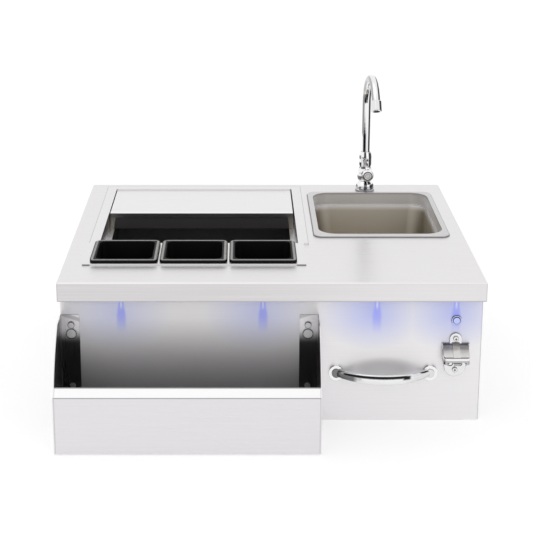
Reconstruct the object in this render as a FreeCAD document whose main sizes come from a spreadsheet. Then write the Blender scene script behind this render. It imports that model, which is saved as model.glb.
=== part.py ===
import FreeCAD, Part
import math
import os
import Sketcher

# Drop-in bar centre: a folded counter over a casing, with an ice well, a basin with a gooseneck tap,
# a hanging bottle rail, a towel bar, a bottle opener and lamps under the counter's front edge.
#
# Frame: x to the user's right, y away from the user, z up. The origin is on the casing's bottom face,
# below the middle of the counter. Lengths are in millimetres, angles in degrees.

Vector = FreeCAD.Vector
document = FreeCAD.newDocument("bar_sink_with_ice_bin")

# ------------------------------------------------------------------------------------------ sizes

SIZES = (
    ("sheet", 1.2, "stainless sheet of the counter and the casing"),
    ("slip", 0.5, "play round a piece that drops into a cut-out"),
    ("fine_gap", 0.3, "play between pieces that slide or turn"),
    ("relief_depth", 0.4, "groove where a thread or a swaged end stops"),
    ("relief_height", 1.5, "height of that groove"),
    # counter
    ("counter_width", 762, "counter, side to side"),
    ("counter_depth", 673, "counter, front to rear"),
    ("counter_height", 275, "counter's top above the casing's bottom"),
    ("apron_drop", 35.4, "turned-down edge of the counter"),
    ("bend_radius", 3.5, "outside radius of the counter's long bends"),
    ("corner_radius", 2, "outside radius of upright corners in sheet"),
    # casing
    ("side_overhang", 30, "side panels, in from the counter's side edges"),
    ("casing_rear", 23, "back panel's outer face, in from the counter's rear edge"),
    ("flange", 12, "turned edges of the back panel and the divider"),
    ("side_flange", 16, "turned edges of the side panels"),
    ("pan_lip", 20, "upturned edge of the bottom pan"),
    ("panel_setback", 30, "front panel's face, in from the counter's front edge"),
    ("panel_lift", 1.2, "lower edges of the front and side panels above the bottom face"),
    ("panel_return", 9, "side flanges of the front panel"),
    ("panel_top_gap", 3, "front panel's upper edge below the counter's sheet"),
    ("service_width", 216, "opening of the pan below the basin, side to side"),
    ("service_depth", 240, "opening of the pan below the basin, front to rear"),
    ("fixing_radius", 2.6, "fixing holes of the side panels"),
    ("fixing_pitch_y", 420, "fixing holes, front to rear"),
    ("fixing_pitch_z", 130, "fixing holes, up"),
    ("fixing_height", 125, "middle of the fixing holes above the bottom face"),
    ("casing_screw_radius", 2, "screws through the side panels into the pan"),
    ("casing_screw_head", 4, "radius of their heads"),
    ("casing_screw_height", 11, "height of these screws above the bottom face"),
    ("casing_screw_pitch", 250, "spacing of these screws"),
    # ice well
    ("well_left", 56, "well's left wall, in from the counter's left edge"),
    ("well_to_basin", 33.1, "from the well's right wall to the basin's flange"),
    ("well_front", 108, "well's front wall, in from the counter's front edge"),
    ("well_rear", 50.4, "well's rear wall, in from the counter's rear edge"),
    ("well_wall_drop", 45, "depth of the well frame's walls"),
    ("band_width", 20.2, "raised band round the well"),
    ("band_height", 3, "height of the raised band and of the tray rack"),
    ("ledge_drop", 34, "lid ledges below the counter's top"),
    ("ledge_width", 10, "lid ledges, from wall to edge"),
    ("ledge_start", 5, "front ends of the ledges behind the tray rack"),
    # ice bin
    ("bin_gap", 2.6, "bin's wall outside the well frame's wall, at the counter"),
    ("bin_draft", 7.9, "how far the bin's walls lean in over their height"),
    ("bin_floor_height", 53, "bin's floor above the casing's bottom"),
    ("bin_wall", 3, "wall of the bin"),
    ("bin_corner", 3, "inside radius of the bin's upright corners"),
    ("bin_rim", 10, "rim of the bin under the counter"),
    ("bracket_drop", 22, "upright leg of the angles that carry the bin"),
    ("foam_wall", 18, "insulation beside the bin"),
    ("foam_floor", 22, "insulation under the bin"),
    ("foam_top", 40, "top of the insulation below the counter's top"),
    ("bin_drain_radius", 10.65, "threaded tail of the bin's drain, 1/2 in pipe"),
    ("bin_drain_spigot", 9.5, "plain lower end of the bin's drain, for a hose"),
    ("bin_drain_bore", 7.5, "bore of the bin's drain"),
    ("bin_drain_flange", 22, "flange of the bin's drain"),
    ("bin_drain_length", 47, "bin's drain below the bin's floor"),
    ("bin_drain_y", 60, "bin's drain behind the middle of the well"),
    ("drain_nut_radius", 17, "across the corners of the drain's nut"),
    ("drain_nut_height", 8, "height of the drain's nut"),
    ("gasket_height", 2.5, "rubber gaskets"),
    ("drain_well_radius", 30, "holes round the drains in foam and pan"),
    # lid
    ("lid_length", 180, "lid, front to rear"),
    ("lid_gap_left", 1.2, "lid's left edge to the well's wall"),
    ("lid_gap_right", 2.3, "lid's right edge to the well's wall"),
    ("lid_rear_gap", 0.6, "lid's rear edge to the well's rear wall"),
    ("lid_sheet", 1, "skin of the lid"),
    ("lid_lip", 9, "front lip of the lid"),
    ("lid_tab_top", 11, "front tabs of the lid at the lip"),
    ("lid_tab_foot", 7, "front tabs of the lid at the ledge"),
    ("core_lift", 1.5, "underside of the lid's core above the ledges"),
    # tray rack and trays
    ("rack_left_reach", 20.5, "rack's left edge, out from the well's left wall"),
    ("rack_right_reach", 10.4, "rack's right edge, out from the well's right wall"),
    ("rack_front", 99, "rack's front edge behind the counter's front edge"),
    ("rack_depth", 128, "rack, front to rear"),
    ("rack_fold", 14, "rack's rear edge, turned down into the well"),
    ("tray_seam", 3.4, "between the rims of two trays"),
    ("tray_row_left", 13.2, "row of trays, in from the rack's left edge"),
    ("tray_row_right", 16.5, "row of trays, in from the rack's right edge"),
    ("tray_length", 128.5, "rim of a tray, front to rear"),
    ("tray_front", 100, "rims' front edge behind the counter's front edge"),
    ("tray_rim", 10, "width of a tray's rim"),
    ("tray_rim_height", 6.2, "height of a tray's rim above the rack"),
    ("tray_depth", 92, "tray's underside below the rack's top"),
    ("tray_draft", 6, "how far a tray's walls lean in"),
    ("tray_wall", 2, "wall of a tray"),
    ("tray_corner", 12, "upright corners of a tray"),
    # basin
    ("basin_right", 29.7, "basin's flange, in from the counter's right edge"),
    ("basin_front", 273, "basin's flange behind the counter's front edge"),
    ("basin_flange_width", 263.8, "flange, side to side"),
    ("basin_flange_length", 324, "flange, front to rear"),
    ("basin_rim", 10.2, "width of the flange"),
    ("basin_rim_height", 4.5, "height of the rolled flange"),
    ("basin_sheet", 0.9, "sheet of the basin"),
    ("basin_corner", 36, "upright corners of the basin"),
    ("basin_flange_corner", 16, "corners of the flange"),
    ("basin_shoulder", 22, "stacking shoulder below the counter's top"),
    ("basin_step", 4, "width of the stacking shoulder"),
    ("basin_depth", 150, "basin's floor below the counter's top"),
    ("basin_draft", 14, "how far the walls lean in below the shoulder"),
    ("basin_floor_round", 12, "radius between floor and walls"),
    ("clip_width", 14, "clips that hold the basin down"),
    ("clip_reach", 11, "clips, out from the basin's wall"),
    ("clip_spread", 150, "spacing of the clips"),
    # basin's strainer and tail
    ("strainer_hole", 26.5, "radius of the hole in the basin's floor"),
    ("strainer_flange", 33, "radius of the strainer's flange"),
    ("strainer_flange_height", 1.5, "height of the strainer's flange"),
    ("strainer_wall", 1.8, "wall of the strainer's cup"),
    ("strainer_cup", 28, "depth of the strainer's cup"),
    ("strainer_neck", 23.4, "radius of the strainer's threaded neck"),
    ("strainer_neck_end", 46, "neck's lower end below the basin's floor"),
    ("strainer_neck_wall", 4.5, "wall of the neck"),
    ("cup_draft", 2, "how far the cup and the basket lean in"),
    ("basket_wall", 1, "sheet of the lift-out basket"),
    ("basket_depth", 21, "depth of the lift-out basket"),
    ("basket_hole", 2, "radius of its holes"),
    ("basket_hole_ring", 13, "its holes from its middle"),
    ("basket_knob", 4, "radius of its knob"),
    ("strainer_nut_radius", 34, "radius of the nut under the basin"),
    ("strainer_nut_height", 7, "height of the nut under the basin"),
    ("tail_radius", 19.05, "drain tail, 1-1/2 in tube"),
    ("tail_wall", 1.2, "wall of the drain tail"),
    ("tail_swage", 0.5, "how much wider the tail is inside its nut"),
    ("tail_end_height", 13, "lower end of the drain tail above the casing's bottom"),
    ("slip_nut_radius", 28.5, "radius of the nut on the drain tail"),
    ("slip_nut_height", 18, "height of the nut on the drain tail"),
    # tap
    ("tap_aside", 5.2, "tap's axis, to the left of the basin's middle"),
    ("tap_rear", 44.5, "tap's axis, in from the counter's rear edge"),
    ("tap_turn", 6, "how far the body is turned to the right"),
    ("tap_foot", 20.6, "radius of the foot"),
    ("tap_foot_height", 3, "height of the foot's rim"),
    ("tap_bell", 18.8, "radius of the bell above the foot"),
    ("tap_bell_top", 11, "top of the bell's straight part"),
    ("tap_neck", 9.2, "radius of the neck"),
    ("tap_neck_height", 17.5, "height of the neck"),
    ("tap_urn", 15.6, "largest radius of the urn"),
    ("tap_urn_height", 37, "height of the urn's largest radius"),
    ("tap_waist", 11.4, "radius of the waist over the urn"),
    ("tap_waist_height", 52, "height of the waist"),
    ("tap_collar", 13.1, "radius of the spout's collar"),
    ("tap_collar_low", 57, "lower edge of the collar's straight part"),
    ("tap_collar_high", 70, "upper edge of the collar's straight part"),
    ("tap_shoulder", 29, "radius of the collar's curved shoulder"),
    ("tap_top", 86, "top of the collar"),
    ("tap_mouth", 10.1, "outside radius of the collar at its top"),
    ("tap_socket_depth", 24, "depth of the spout's socket in the collar"),
    ("shank_radius", 10.35, "threaded shank, 1/2 in"),
    ("shank_length", 62, "shank below the counter's top"),
    ("inlet_radius", 9.9, "plain lower end of the shank"),
    ("inlet_opening", 17, "radius of the hole in the pan below the shank"),
    ("shank_bore", 7, "bore of the shank"),
    ("tap_gasket_height", 1, "rubber under the foot"),
    ("tap_washer_radius", 18, "washer under the counter"),
    ("tap_nut_radius", 16, "across the corners of the nut under the counter"),
    ("tap_nut_height", 8, "height of that nut"),
    ("spout_turn", 4, "how far the spout is turned to the right"),
    ("tube_radius", 8.7, "spout's tube"),
    ("tube_wall", 1.2, "wall of the spout's tube"),
    ("spout_rise", 192, "where the riser's straight part ends, above the counter"),
    ("spout_bend", 64, "radius of the gooseneck"),
    ("spout_sweep", 153, "angle of the gooseneck"),
    ("aerator_radius", 11, "outlet"),
    ("aerator_length", 22.5, "length of the outlet"),
    ("aerator_overlap", 6, "outlet's grip on the tube"),
    ("aerator_bevel", 1.2, "bevels of the outlet"),
    ("handle_height", 38.6, "knob's axis above the counter"),
    ("valve_neck_radius", 8, "boss that carries the knob"),
    ("valve_neck_end", 19, "end of the boss from the tap's axis"),
    ("stem_radius", 4, "knob's stem"),
    ("stem_depth", 9, "stem inside the boss"),
    ("knob_radius", 13, "knob"),
    ("knob_length", 13, "length of the knob"),
    ("knob_bevel", 4, "bevel at the knob's back"),
    ("knob_round", 3, "rounding at the knob's front"),
    ("index_radius", 8, "cap in the knob"),
    ("index_depth", 2, "depth of the cap in the knob"),
    # bottle rail
    ("rail_inset", 2.2, "rail's left end, in from the counter's left edge"),
    ("rail_reach", 30.2, "rail's right end, beyond the well's right wall"),
    ("rail_depth", 148, "rail's front face from the front panel"),
    ("rail_lift", 1.7, "rail's underside above the casing's bottom"),
    ("rail_front_height", 104, "front face of the rail"),
    ("rail_lip_rise", 12.5, "height of the leaning lip"),
    ("rail_lip_lean", 19, "how far the lip leans back"),
    ("rail_back_height", 45, "rear upstand of the trough"),
    ("rail_end_height", 203.5, "end plates"),
    ("rail_end_flat", 54, "level top of an end plate"),
    ("rail_end_bow", 225, "radius of an end plate's curved edge"),
    ("rail_end_shoulder", 26, "radius between the level top and the curve"),
    ("hook_width", 34, "keyhole flanges"),
    ("hook_corner", 3, "corners of the keyhole flanges"),
    ("keyhole_inset", 18.8, "keyholes from the rail's ends"),
    ("keyhole_low_drop", 116, "lower keyholes below the upper ones"),
    ("keyhole_top_drop", 19.5, "upper studs below the end plates' tops"),
    ("keyhole_travel", 16.8, "large hole below the stud"),
    ("keyhole_slot", 4.1, "radius of the keyhole's slot"),
    ("keyhole_mouth", 9, "radius of the keyhole's large hole"),
    ("stud_shank", 3.4, "shank of a stud"),
    ("stud_head", 5.4, "head of a stud"),
    ("stud_head_height", 3, "height of a stud's head"),
    ("stud_tail", 9, "stud behind the panel"),
    ("small_nut_radius", 6.4, "across the corners of the small nuts"),
    ("small_nut_height", 4, "height of the small nuts"),
    # towel bar
    ("bar_right", 178.1, "middle of the towel bar, in from the counter's right edge"),
    ("bar_drop", 181.3, "towel bar below the counter's top"),
    ("bar_span", 170, "between the middles of the bar's ends"),
    ("bar_bow", 37, "how far the bar bows out from the panel"),
    ("bar_half_height", 9.6, "half the height of the bar's oval section"),
    ("bar_half_depth", 5, "half the depth of the bar's oval section"),
    ("bar_end_half_height", 7.2, "half the height of the section at the bar's ends"),
    ("rose_half_width", 13, "half the width of the oval plates"),
    ("rose_half_height", 14.6, "half the height of the oval plates"),
    ("rose_height", 5, "thickness of the oval plates"),
    ("bar_foot", 8, "radius of the bar's feet in the oval plates"),
    ("bar_stud", 2.9, "studs of the towel bar"),
    ("bar_root", 3, "how far the feet and studs run into each other"),
    # bottle opener
    ("opener_right", 48.6, "middle of the opener, in from the counter's right edge"),
    ("opener_top_drop", 104, "opener's upper end below the counter's top"),
    ("opener_height", 83.7, "opener, up"),
    ("opener_width", 50, "opener, side to side"),
    ("opener_plate", 3.5, "plate of the opener"),
    ("opener_tab", 11.2, "radius of the upper tab"),
    ("opener_hood_top", 20, "hood's upper edge below the opener's upper end"),
    ("opener_hood_drop", 28, "hood, from its upper edge to its mouth"),
    ("opener_hood_reach", 29, "hood's lip from the panel"),
    ("opener_lip", 8, "height of the hood's lip"),
    ("opener_wall", 3, "walls of the hood"),
    ("opener_inset", 2, "sides of the hood, in from the plate's edges"),
    ("opener_corner", 6, "radius of the hood's front corners"),
    ("opener_edge", 1, "radius of the plate's front edges"),
    ("opener_strap", 6.5, "half the width of the raised strap down the hood"),
    ("opener_strap_height", 1.8, "height of the strap"),
    ("opener_bead", 2.4, "radius of the bead along the hood's lip"),
    ("opener_foot", 20, "radius of the lower end"),
    ("opener_waist", 42.8, "width of the plate at the mouth"),
    ("opener_notch", 5, "radius of the notches beside the tooth"),
    ("opener_tooth", 11, "width of the tooth"),
    ("opener_screw_low", 70.5, "lower screw below the opener's upper end"),
    ("screw_shank", 2.2, "opener's screws"),
    ("screw_head", 4.4, "heads of the opener's screws"),
    ("screw_head_height", 2.4, "height of these heads"),
    ("screw_length", 14, "length of these screws"),
    # push button
    ("button_right", 48.2, "push button, in from the counter's right edge"),
    ("button_drop", 81, "push button below the counter's top"),
    ("bezel_radius", 9.6, "ring of the button"),
    ("bezel_height", 2.2, "height of the ring"),
    ("barrel_radius", 7.9, "threaded barrel of the button"),
    ("barrel_bore", 6.9, "bore of the barrel"),
    ("barrel_length", 24, "barrel behind the panel's face"),
    ("button_radius", 6.5, "pressed part"),
    ("button_proud", 1, "pressed part above the ring"),
    ("button_length", 11, "length of the pressed part"),
    ("button_travel", 2, "travel of the button"),
    ("button_bevel", 0.7, "bevels of the ring and the pressed part"),
    ("switch_tail", 5, "switch behind the barrel"),
    ("button_nut_radius", 11.5, "across the corners of the button's nut"),
    ("button_nut_height", 3, "height of the button's nut"),
    # lamps
    ("lamp_left", 106, "first lamp, in from the counter's left edge"),
    ("lamp_before_rail_end", 99.2, "second lamp, to the left of the rail's right end"),
    ("lamp_before_bar", 8.9, "third lamp, to the left of the towel bar's middle"),
    ("lamp_right", 46, "fourth lamp, in from the counter's right edge"),
    ("lamp_row", 15, "lamps behind the counter's front edge"),
    ("lamp_radius", 5, "lamp housings"),
    ("lamp_height", 18, "lamp housings below their bracket"),
    ("lens_radius", 4, "lenses"),
    ("lens_height", 8, "lenses below the housings"),
    ("lamp_bracket_width", 18, "bracket of the lamps, front to rear"),
    ("driver_right", 113, "battery case of the lamps, in from the counter's right edge"),
    ("driver_width", 84, "battery case, side to side"),
    ("driver_height", 58, "battery case, up"),
    ("driver_depth", 24, "battery case, front to rear"),
    ("driver_drop", 105, "battery case's top below the counter's top"),
)


class Size:
    """A length that knows its number and the formula that ties it to the sheet of sizes."""

    def __init__(self, number, formula):
        self.number = float(number)
        self.formula = formula

    def __add__(self, other):
        other = as_size(other)
        return Size(self.number + other.number, f"({self.formula} + {other.formula})")

    def __sub__(self, other):
        other = as_size(other)
        return Size(self.number - other.number, f"({self.formula} - {other.formula})")

    def __mul__(self, factor):
        return Size(self.number * factor, f"({self.formula} * {factor:.9f})")

    def __truediv__(self, divisor):
        return Size(self.number / divisor, f"({self.formula} / {divisor})")

    def __neg__(self):
        return Size(-self.number, f"(0 - {self.formula})")

    def __radd__(self, other):
        return as_size(other) + self

    def __rsub__(self, other):
        return as_size(other) - self

    def __rmul__(self, factor):
        return self * factor


def as_size(value):
    return value if isinstance(value, Size) else Size(value, f"({value:.9f})")


class SizeSheet:
    """The document's sheet of sizes; each size is an attribute of it."""

    def __init__(self, rows):
        cells = document.addObject("Spreadsheet::Sheet", "sizes")
        for number, (name, value, meaning) in enumerate(rows, start=1):
            cells.set(f"A{number}", name)
            cells.set(f"B{number}", str(value))
            cells.setAlias(f"B{number}", name)
            cells.set(f"C{number}", meaning)
            setattr(self, name, Size(value, f"sizes.{name}"))
        document.recompute()


s = SizeSheet(SIZES)
ZERO = as_size(0)
BOTH_SIDES = (-1, 1)

# How far a cut runs past the face that it starts from.
BEYOND = 1

# Places that several pieces share.
TOP = s.counter_height
UNDERSIDE = TOP - s.sheet
LEFT, RIGHT = -s.counter_width / 2, s.counter_width / 2
FRONT, REAR = -s.counter_depth / 2, s.counter_depth / 2
PANEL_FACE = FRONT + s.panel_setback
PANEL_BACK = PANEL_FACE + s.sheet
CASING_REAR = REAR - s.casing_rear
CASING_HALF_WIDTH = s.counter_width / 2 - s.side_overhang
BASIN_X = RIGHT - s.basin_right - s.basin_flange_width / 2
WELL_LEFT = LEFT + s.well_left
WELL_RIGHT = RIGHT - s.basin_right - s.basin_flange_width - s.well_to_basin
WELL_X = (WELL_LEFT + WELL_RIGHT) / 2
WELL_Y = (FRONT + s.well_front + REAR - s.well_rear) / 2
WELL_HALF_WIDTH = (WELL_RIGHT - WELL_LEFT) / 2
WELL_HALF_LENGTH = (s.counter_depth - s.well_front - s.well_rear) / 2
RACK_Y = FRONT + s.rack_front + s.rack_depth / 2
RACK_REAR = FRONT + s.rack_front + s.rack_depth
RACK_LEFT, RACK_RIGHT = WELL_LEFT - s.rack_left_reach, WELL_RIGHT + s.rack_right_reach
TRAY_ROW_LEFT, TRAY_ROW_RIGHT = RACK_LEFT + s.tray_row_left, RACK_RIGHT - s.tray_row_right
TRAY_WIDTH = (TRAY_ROW_RIGHT - TRAY_ROW_LEFT - s.tray_seam * 2) / 3
TRAYS_X = tuple(TRAY_ROW_LEFT + TRAY_WIDTH / 2 + (TRAY_WIDTH + s.tray_seam) * number for number in range(3))
TRAY_Y = FRONT + s.tray_front + s.tray_length / 2
TRAY_OPENING_X = TRAY_WIDTH / 2 - s.tray_rim
TRAY_OPENING_Y = s.tray_length / 2 - s.tray_rim
LID_WIDTH = WELL_HALF_WIDTH * 2 - s.lid_gap_left - s.lid_gap_right
LID_X = WELL_X + (s.lid_gap_left - s.lid_gap_right) / 2
LID_Y = REAR - s.well_rear - s.lid_rear_gap - s.lid_length / 2
BASIN_Y = FRONT + s.basin_front + s.basin_flange_length / 2
BASIN_HALF_WIDTH = s.basin_flange_width / 2 - s.basin_rim
BASIN_HALF_LENGTH = s.basin_flange_length / 2 - s.basin_rim
TAP_X, TAP_Y = BASIN_X - s.tap_aside, REAR - s.tap_rear
BIN_DEPTH = s.counter_height - s.bin_floor_height
BIN_HALF_WIDTH = WELL_HALF_WIDTH + s.sheet + s.bin_gap
BIN_HALF_LENGTH = WELL_HALF_LENGTH + s.sheet + s.bin_gap
DIVIDER_X = WELL_X + BIN_HALF_WIDTH + s.bin_wall + s.foam_wall + s.slip * 2
OPENER_SCREWS_DROP = (s.opener_top_drop + s.opener_tab, s.opener_top_drop + s.opener_screw_low)
RAIL_TOP = s.rail_lift + s.rail_end_height
RAIL_LEFT, RAIL_RIGHT = LEFT + s.rail_inset, WELL_RIGHT + s.rail_reach
BAR_X = RIGHT - s.bar_right
OPENER_X = RIGHT - s.opener_right
BUTTON_X = RIGHT - s.button_right
LAMPS_X = (LEFT + s.lamp_left, RAIL_RIGHT - s.lamp_before_rail_end, BAR_X - s.lamp_before_bar,
           RIGHT - s.lamp_right)
STUDS_X = (RAIL_LEFT + s.keyhole_inset, RAIL_RIGHT - s.keyhole_inset)
STUDS_Z = (RAIL_TOP - s.keyhole_top_drop, RAIL_TOP - s.keyhole_top_drop - s.keyhole_low_drop)

# ------------------------------------------------------------------------------- sketches and solids

pieces = []


class Outline:
    """A closed outline. Each corner is (x, y), or (x, y, radius, turn) where the edge that leaves the
    corner is an arc: turn is 1 for an arc that runs counter-clockwise and -1 for a clockwise one."""

    def __init__(self, corners):
        self.corners = [tuple(as_size(v) for v in corner[:3]) + tuple(corner[3:]) for corner in corners]

    def draw(self, sketch):
        first = sketch.GeometryCount
        count = len(self.corners)
        joints = []
        for index, corner in enumerate(self.corners):
            start = Vector(corner[0].number, corner[1].number, 0)
            following = self.corners[(index + 1) % count]
            end = Vector(following[0].number, following[1].number, 0)
            if len(corner) == 2:
                sketch.addGeometry(Part.LineSegment(start, end))
                joints.append((1, 2))
            else:
                sketch.addGeometry(arc_between(start, end, corner[2].number, corner[3]))
                joints.append((1, 2) if corner[3] > 0 else (2, 1))
        for index in range(count):
            following = (index + 1) % count
            sketch.addConstraint(Sketcher.Constraint(
                "Coincident", first + index, joints[index][1], first + following, joints[following][0]))
        for index, corner in enumerate(self.corners):
            hold_point(sketch, first + index, joints[index][0], corner[0], corner[1])
            if len(corner) > 2:
                hold_radius(sketch, first + index, corner[2])


class Circle:
    """A full circle."""

    def __init__(self, x, y, radius):
        self.x, self.y, self.radius = as_size(x), as_size(y), as_size(radius)

    def draw(self, sketch):
        index = sketch.GeometryCount
        centre = Vector(self.x.number, self.y.number, 0)
        sketch.addGeometry(Part.Circle(centre, Vector(0, 0, 1), self.radius.number))
        hold_point(sketch, index, 3, self.x, self.y)
        hold_radius(sketch, index, self.radius)


def rectangle(left, right, low, high):
    return Outline([(left, low), (right, low), (right, high), (left, high)])


def centred(half_width, half_length, x=ZERO, y=ZERO):
    return rectangle(x - half_width, x + half_width, y - half_length, y + half_length)


def rounded(half_width, half_length, radius, x=ZERO, y=ZERO):
    left, right, low, high = x - half_width, x + half_width, y - half_length, y + half_length
    return Outline([
        (left + radius, low), (right - radius, low, radius, 1),
        (right, low + radius), (right, high - radius, radius, 1),
        (right - radius, high), (left + radius, high, radius, 1),
        (left, high - radius), (left, low + radius, radius, 1),
    ])


def hexagon(corner_radius, x=ZERO, y=ZERO):
    angles = [math.radians(60 * number) for number in range(6)]
    return Outline([
        (x + corner_radius * math.cos(angle), y + corner_radius * math.sin(angle)) for angle in angles])


def arc_between(start, end, radius, turn):
    """The shorter arc from start to end."""
    chord = end - start
    rise = math.sqrt(max(radius ** 2 - (chord.Length / 2) ** 2, 0))
    across = Vector(-chord.y, chord.x, 0).normalize()
    centre = (start + end) / 2 + across * (rise * turn)
    first, last = (start, end) if turn > 0 else (end, start)
    circle = Part.Circle(centre, Vector(0, 0, 1), radius)
    return Part.ArcOfCircle(circle, angle_of(first - centre), angle_of(last - centre))


def angle_of(vector):
    return math.atan2(vector.y, vector.x)


def hold_point(sketch, edge, end, x, y):
    for kind, size in (("DistanceX", x), ("DistanceY", y)):
        number = sketch.addConstraint(Sketcher.Constraint(kind, -1, 1, edge, end, size.number))
        sketch.setExpression(f"Constraints[{number}]", size.formula)


def hold_radius(sketch, edge, size):
    number = sketch.addConstraint(Sketcher.Constraint("Radius", edge, size.number))
    sketch.setExpression(f"Constraints[{number}]", size.formula)


def new_body(label):
    body = document.addObject("PartDesign::Body", label)
    body.Label = label
    pieces.append(body)
    return body


def new_sketch(body, name, role, loops, offset=ZERO):
    sketch = body.newObject("Sketcher::SketchObject", name)
    plane = next(item for item in body.Origin.OriginFeatures if item.Role == role)
    sketch.AttachmentSupport = [(plane, "")]
    sketch.MapMode = "FlatFace"
    sketch.setExpression("AttachmentOffset.Base.z", as_size(offset).formula)
    for loop in loops:
        loop.draw(sketch)
    return sketch


def prism(body, name, axis, loops, low, high, cut=False):
    """Material, or with cut a hole, between low and high along the axis x, y or z."""
    low, high = as_size(low), as_size(high)
    role = {"x": "YZ_Plane", "y": "XZ_Plane", "z": "XY_Plane"}[axis]
    offset = -high if axis == "y" else low
    sketch = new_sketch(body, f"{name}_sketch", role, loops, offset)
    feature = body.newObject("PartDesign::Pocket" if cut else "PartDesign::Pad", name)
    feature.Profile = sketch
    feature.setExpression("Length", (high - low).formula)
    feature.Reversed = cut
    return feature


def loft(body, name, first, first_z, second, second_z, cut=False):
    """Material, or with cut a hole, that runs straight from one outline to the other."""
    profile = new_sketch(body, f"{name}_from", "XY_Plane", [first], first_z)
    section = new_sketch(body, f"{name}_to", "XY_Plane", [second], second_z)
    feature = body.newObject("PartDesign::SubtractiveLoft" if cut else "PartDesign::AdditiveLoft", name)
    feature.Profile = profile
    feature.Sections = [section]
    feature.Ruled = True
    return feature


def turned(body, name, loops, cut=False):
    """A piece turned about the z axis from outlines of (radius, height)."""
    sketch = new_sketch(body, f"{name}_sketch", "XZ_Plane", loops)
    feature = body.newObject("PartDesign::Groove" if cut else "PartDesign::Revolution", name)
    feature.Profile = sketch
    feature.ReferenceAxis = (sketch, ["V_Axis"])
    feature.Angle = 360
    return feature


def round_edges(body, name, radius, chosen):
    """Rounds the edges of the body so far that the function chosen picks out."""
    document.recompute()
    base = body.Tip
    names = [f"Edge{number}" for number, edge in enumerate(base.Shape.Edges, start=1) if chosen(edge)]
    feature = body.newObject("PartDesign::Fillet", name)
    feature.Base = (base, names)
    feature.setExpression("Radius", as_size(radius).formula)
    return feature


def is_upright(edge):
    box = edge.BoundBox
    return box.XLength < 1e-6 and box.YLength < 1e-6


def lies_level(edge, height):
    box = edge.BoundBox
    return abs(box.ZMin - height.number) < 1e-4 and abs(box.ZMax - height.number) < 1e-4


def stands_at(edge, y):
    box = edge.BoundBox
    return abs(box.YMin - y.number) < 1e-4 and abs(box.YMax - y.number) < 1e-4


def place(piece, x, y, z, rotation=None):
    if rotation is not None:
        piece.Placement = FreeCAD.Placement(Vector(0, 0, 0), rotation)
    for axis, size in (("x", x), ("y", y), ("z", z)):
        piece.setExpression(f"Placement.Base.{axis}", as_size(size).formula)


# ------------------------------------------------------------------------------ counter and casing

def make_counter_top():
    body = new_body("counter_top")
    half_width, half_depth = s.counter_width / 2, s.counter_depth / 2
    inner = rounded(half_width - s.sheet, half_depth - s.sheet, s.bend_radius - s.sheet)
    prism(body, "block", "z", [rounded(half_width, half_depth, s.bend_radius)], -s.apron_drop, ZERO)
    round_edges(body, "outer_bends", s.bend_radius, lambda edge: lies_level(edge, ZERO))
    prism(body, "hollow", "z", [inner], -s.apron_drop, -s.sheet, cut=True)
    round_edges(body, "inner_bends", s.bend_radius - s.sheet, lambda edge: lies_level(edge, -s.sheet))
    cut_outs = [
        centred(WELL_HALF_WIDTH + s.sheet + s.slip, WELL_HALF_LENGTH + s.sheet + s.slip, WELL_X, WELL_Y),
        rounded(BASIN_HALF_WIDTH + s.basin_sheet + s.slip, BASIN_HALF_LENGTH + s.basin_sheet + s.slip,
                s.basin_corner, BASIN_X, BASIN_Y),
        Circle(TAP_X, TAP_Y, s.shank_radius + s.slip),
    ]
    prism(body, "cut_outs", "z", cut_outs, -s.sheet * 2, s.sheet, cut=True)
    place(body, ZERO, ZERO, TOP)


def make_front_panel():
    body = new_body("front_panel")
    half_width = s.counter_width / 2 - s.sheet - s.fine_gap
    height = UNDERSIDE - s.panel_top_gap - s.panel_lift
    prism(body, "block", "z", [rectangle(-half_width, half_width, ZERO, s.panel_return)], ZERO, height)
    round_edges(body, "side_bends", s.corner_radius,
                lambda edge: is_upright(edge) and edge.BoundBox.YMax < 1e-6)
    inner = half_width - s.sheet
    prism(body, "hollow", "z", [rectangle(-inner, inner, s.sheet, s.panel_return + BEYOND)],
          as_size(-BEYOND), height + BEYOND, cut=True)
    level = TOP - s.panel_lift
    holes = [Circle(x, z - s.panel_lift, s.stud_shank + s.fine_gap) for x in STUDS_X for z in STUDS_Z]
    holes += [Circle(BAR_X + side * s.bar_span / 2, level - s.bar_drop, s.bar_stud + s.fine_gap)
              for side in BOTH_SIDES]
    holes += [Circle(OPENER_X, level - drop, s.screw_shank + s.fine_gap) for drop in OPENER_SCREWS_DROP]
    holes += [Circle(BUTTON_X, level - s.button_drop, s.barrel_radius + s.fine_gap)]
    prism(body, "holes", "y", holes, -s.sheet, s.sheet * 2, cut=True)
    place(body, ZERO, PANEL_FACE, s.panel_lift)


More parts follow.
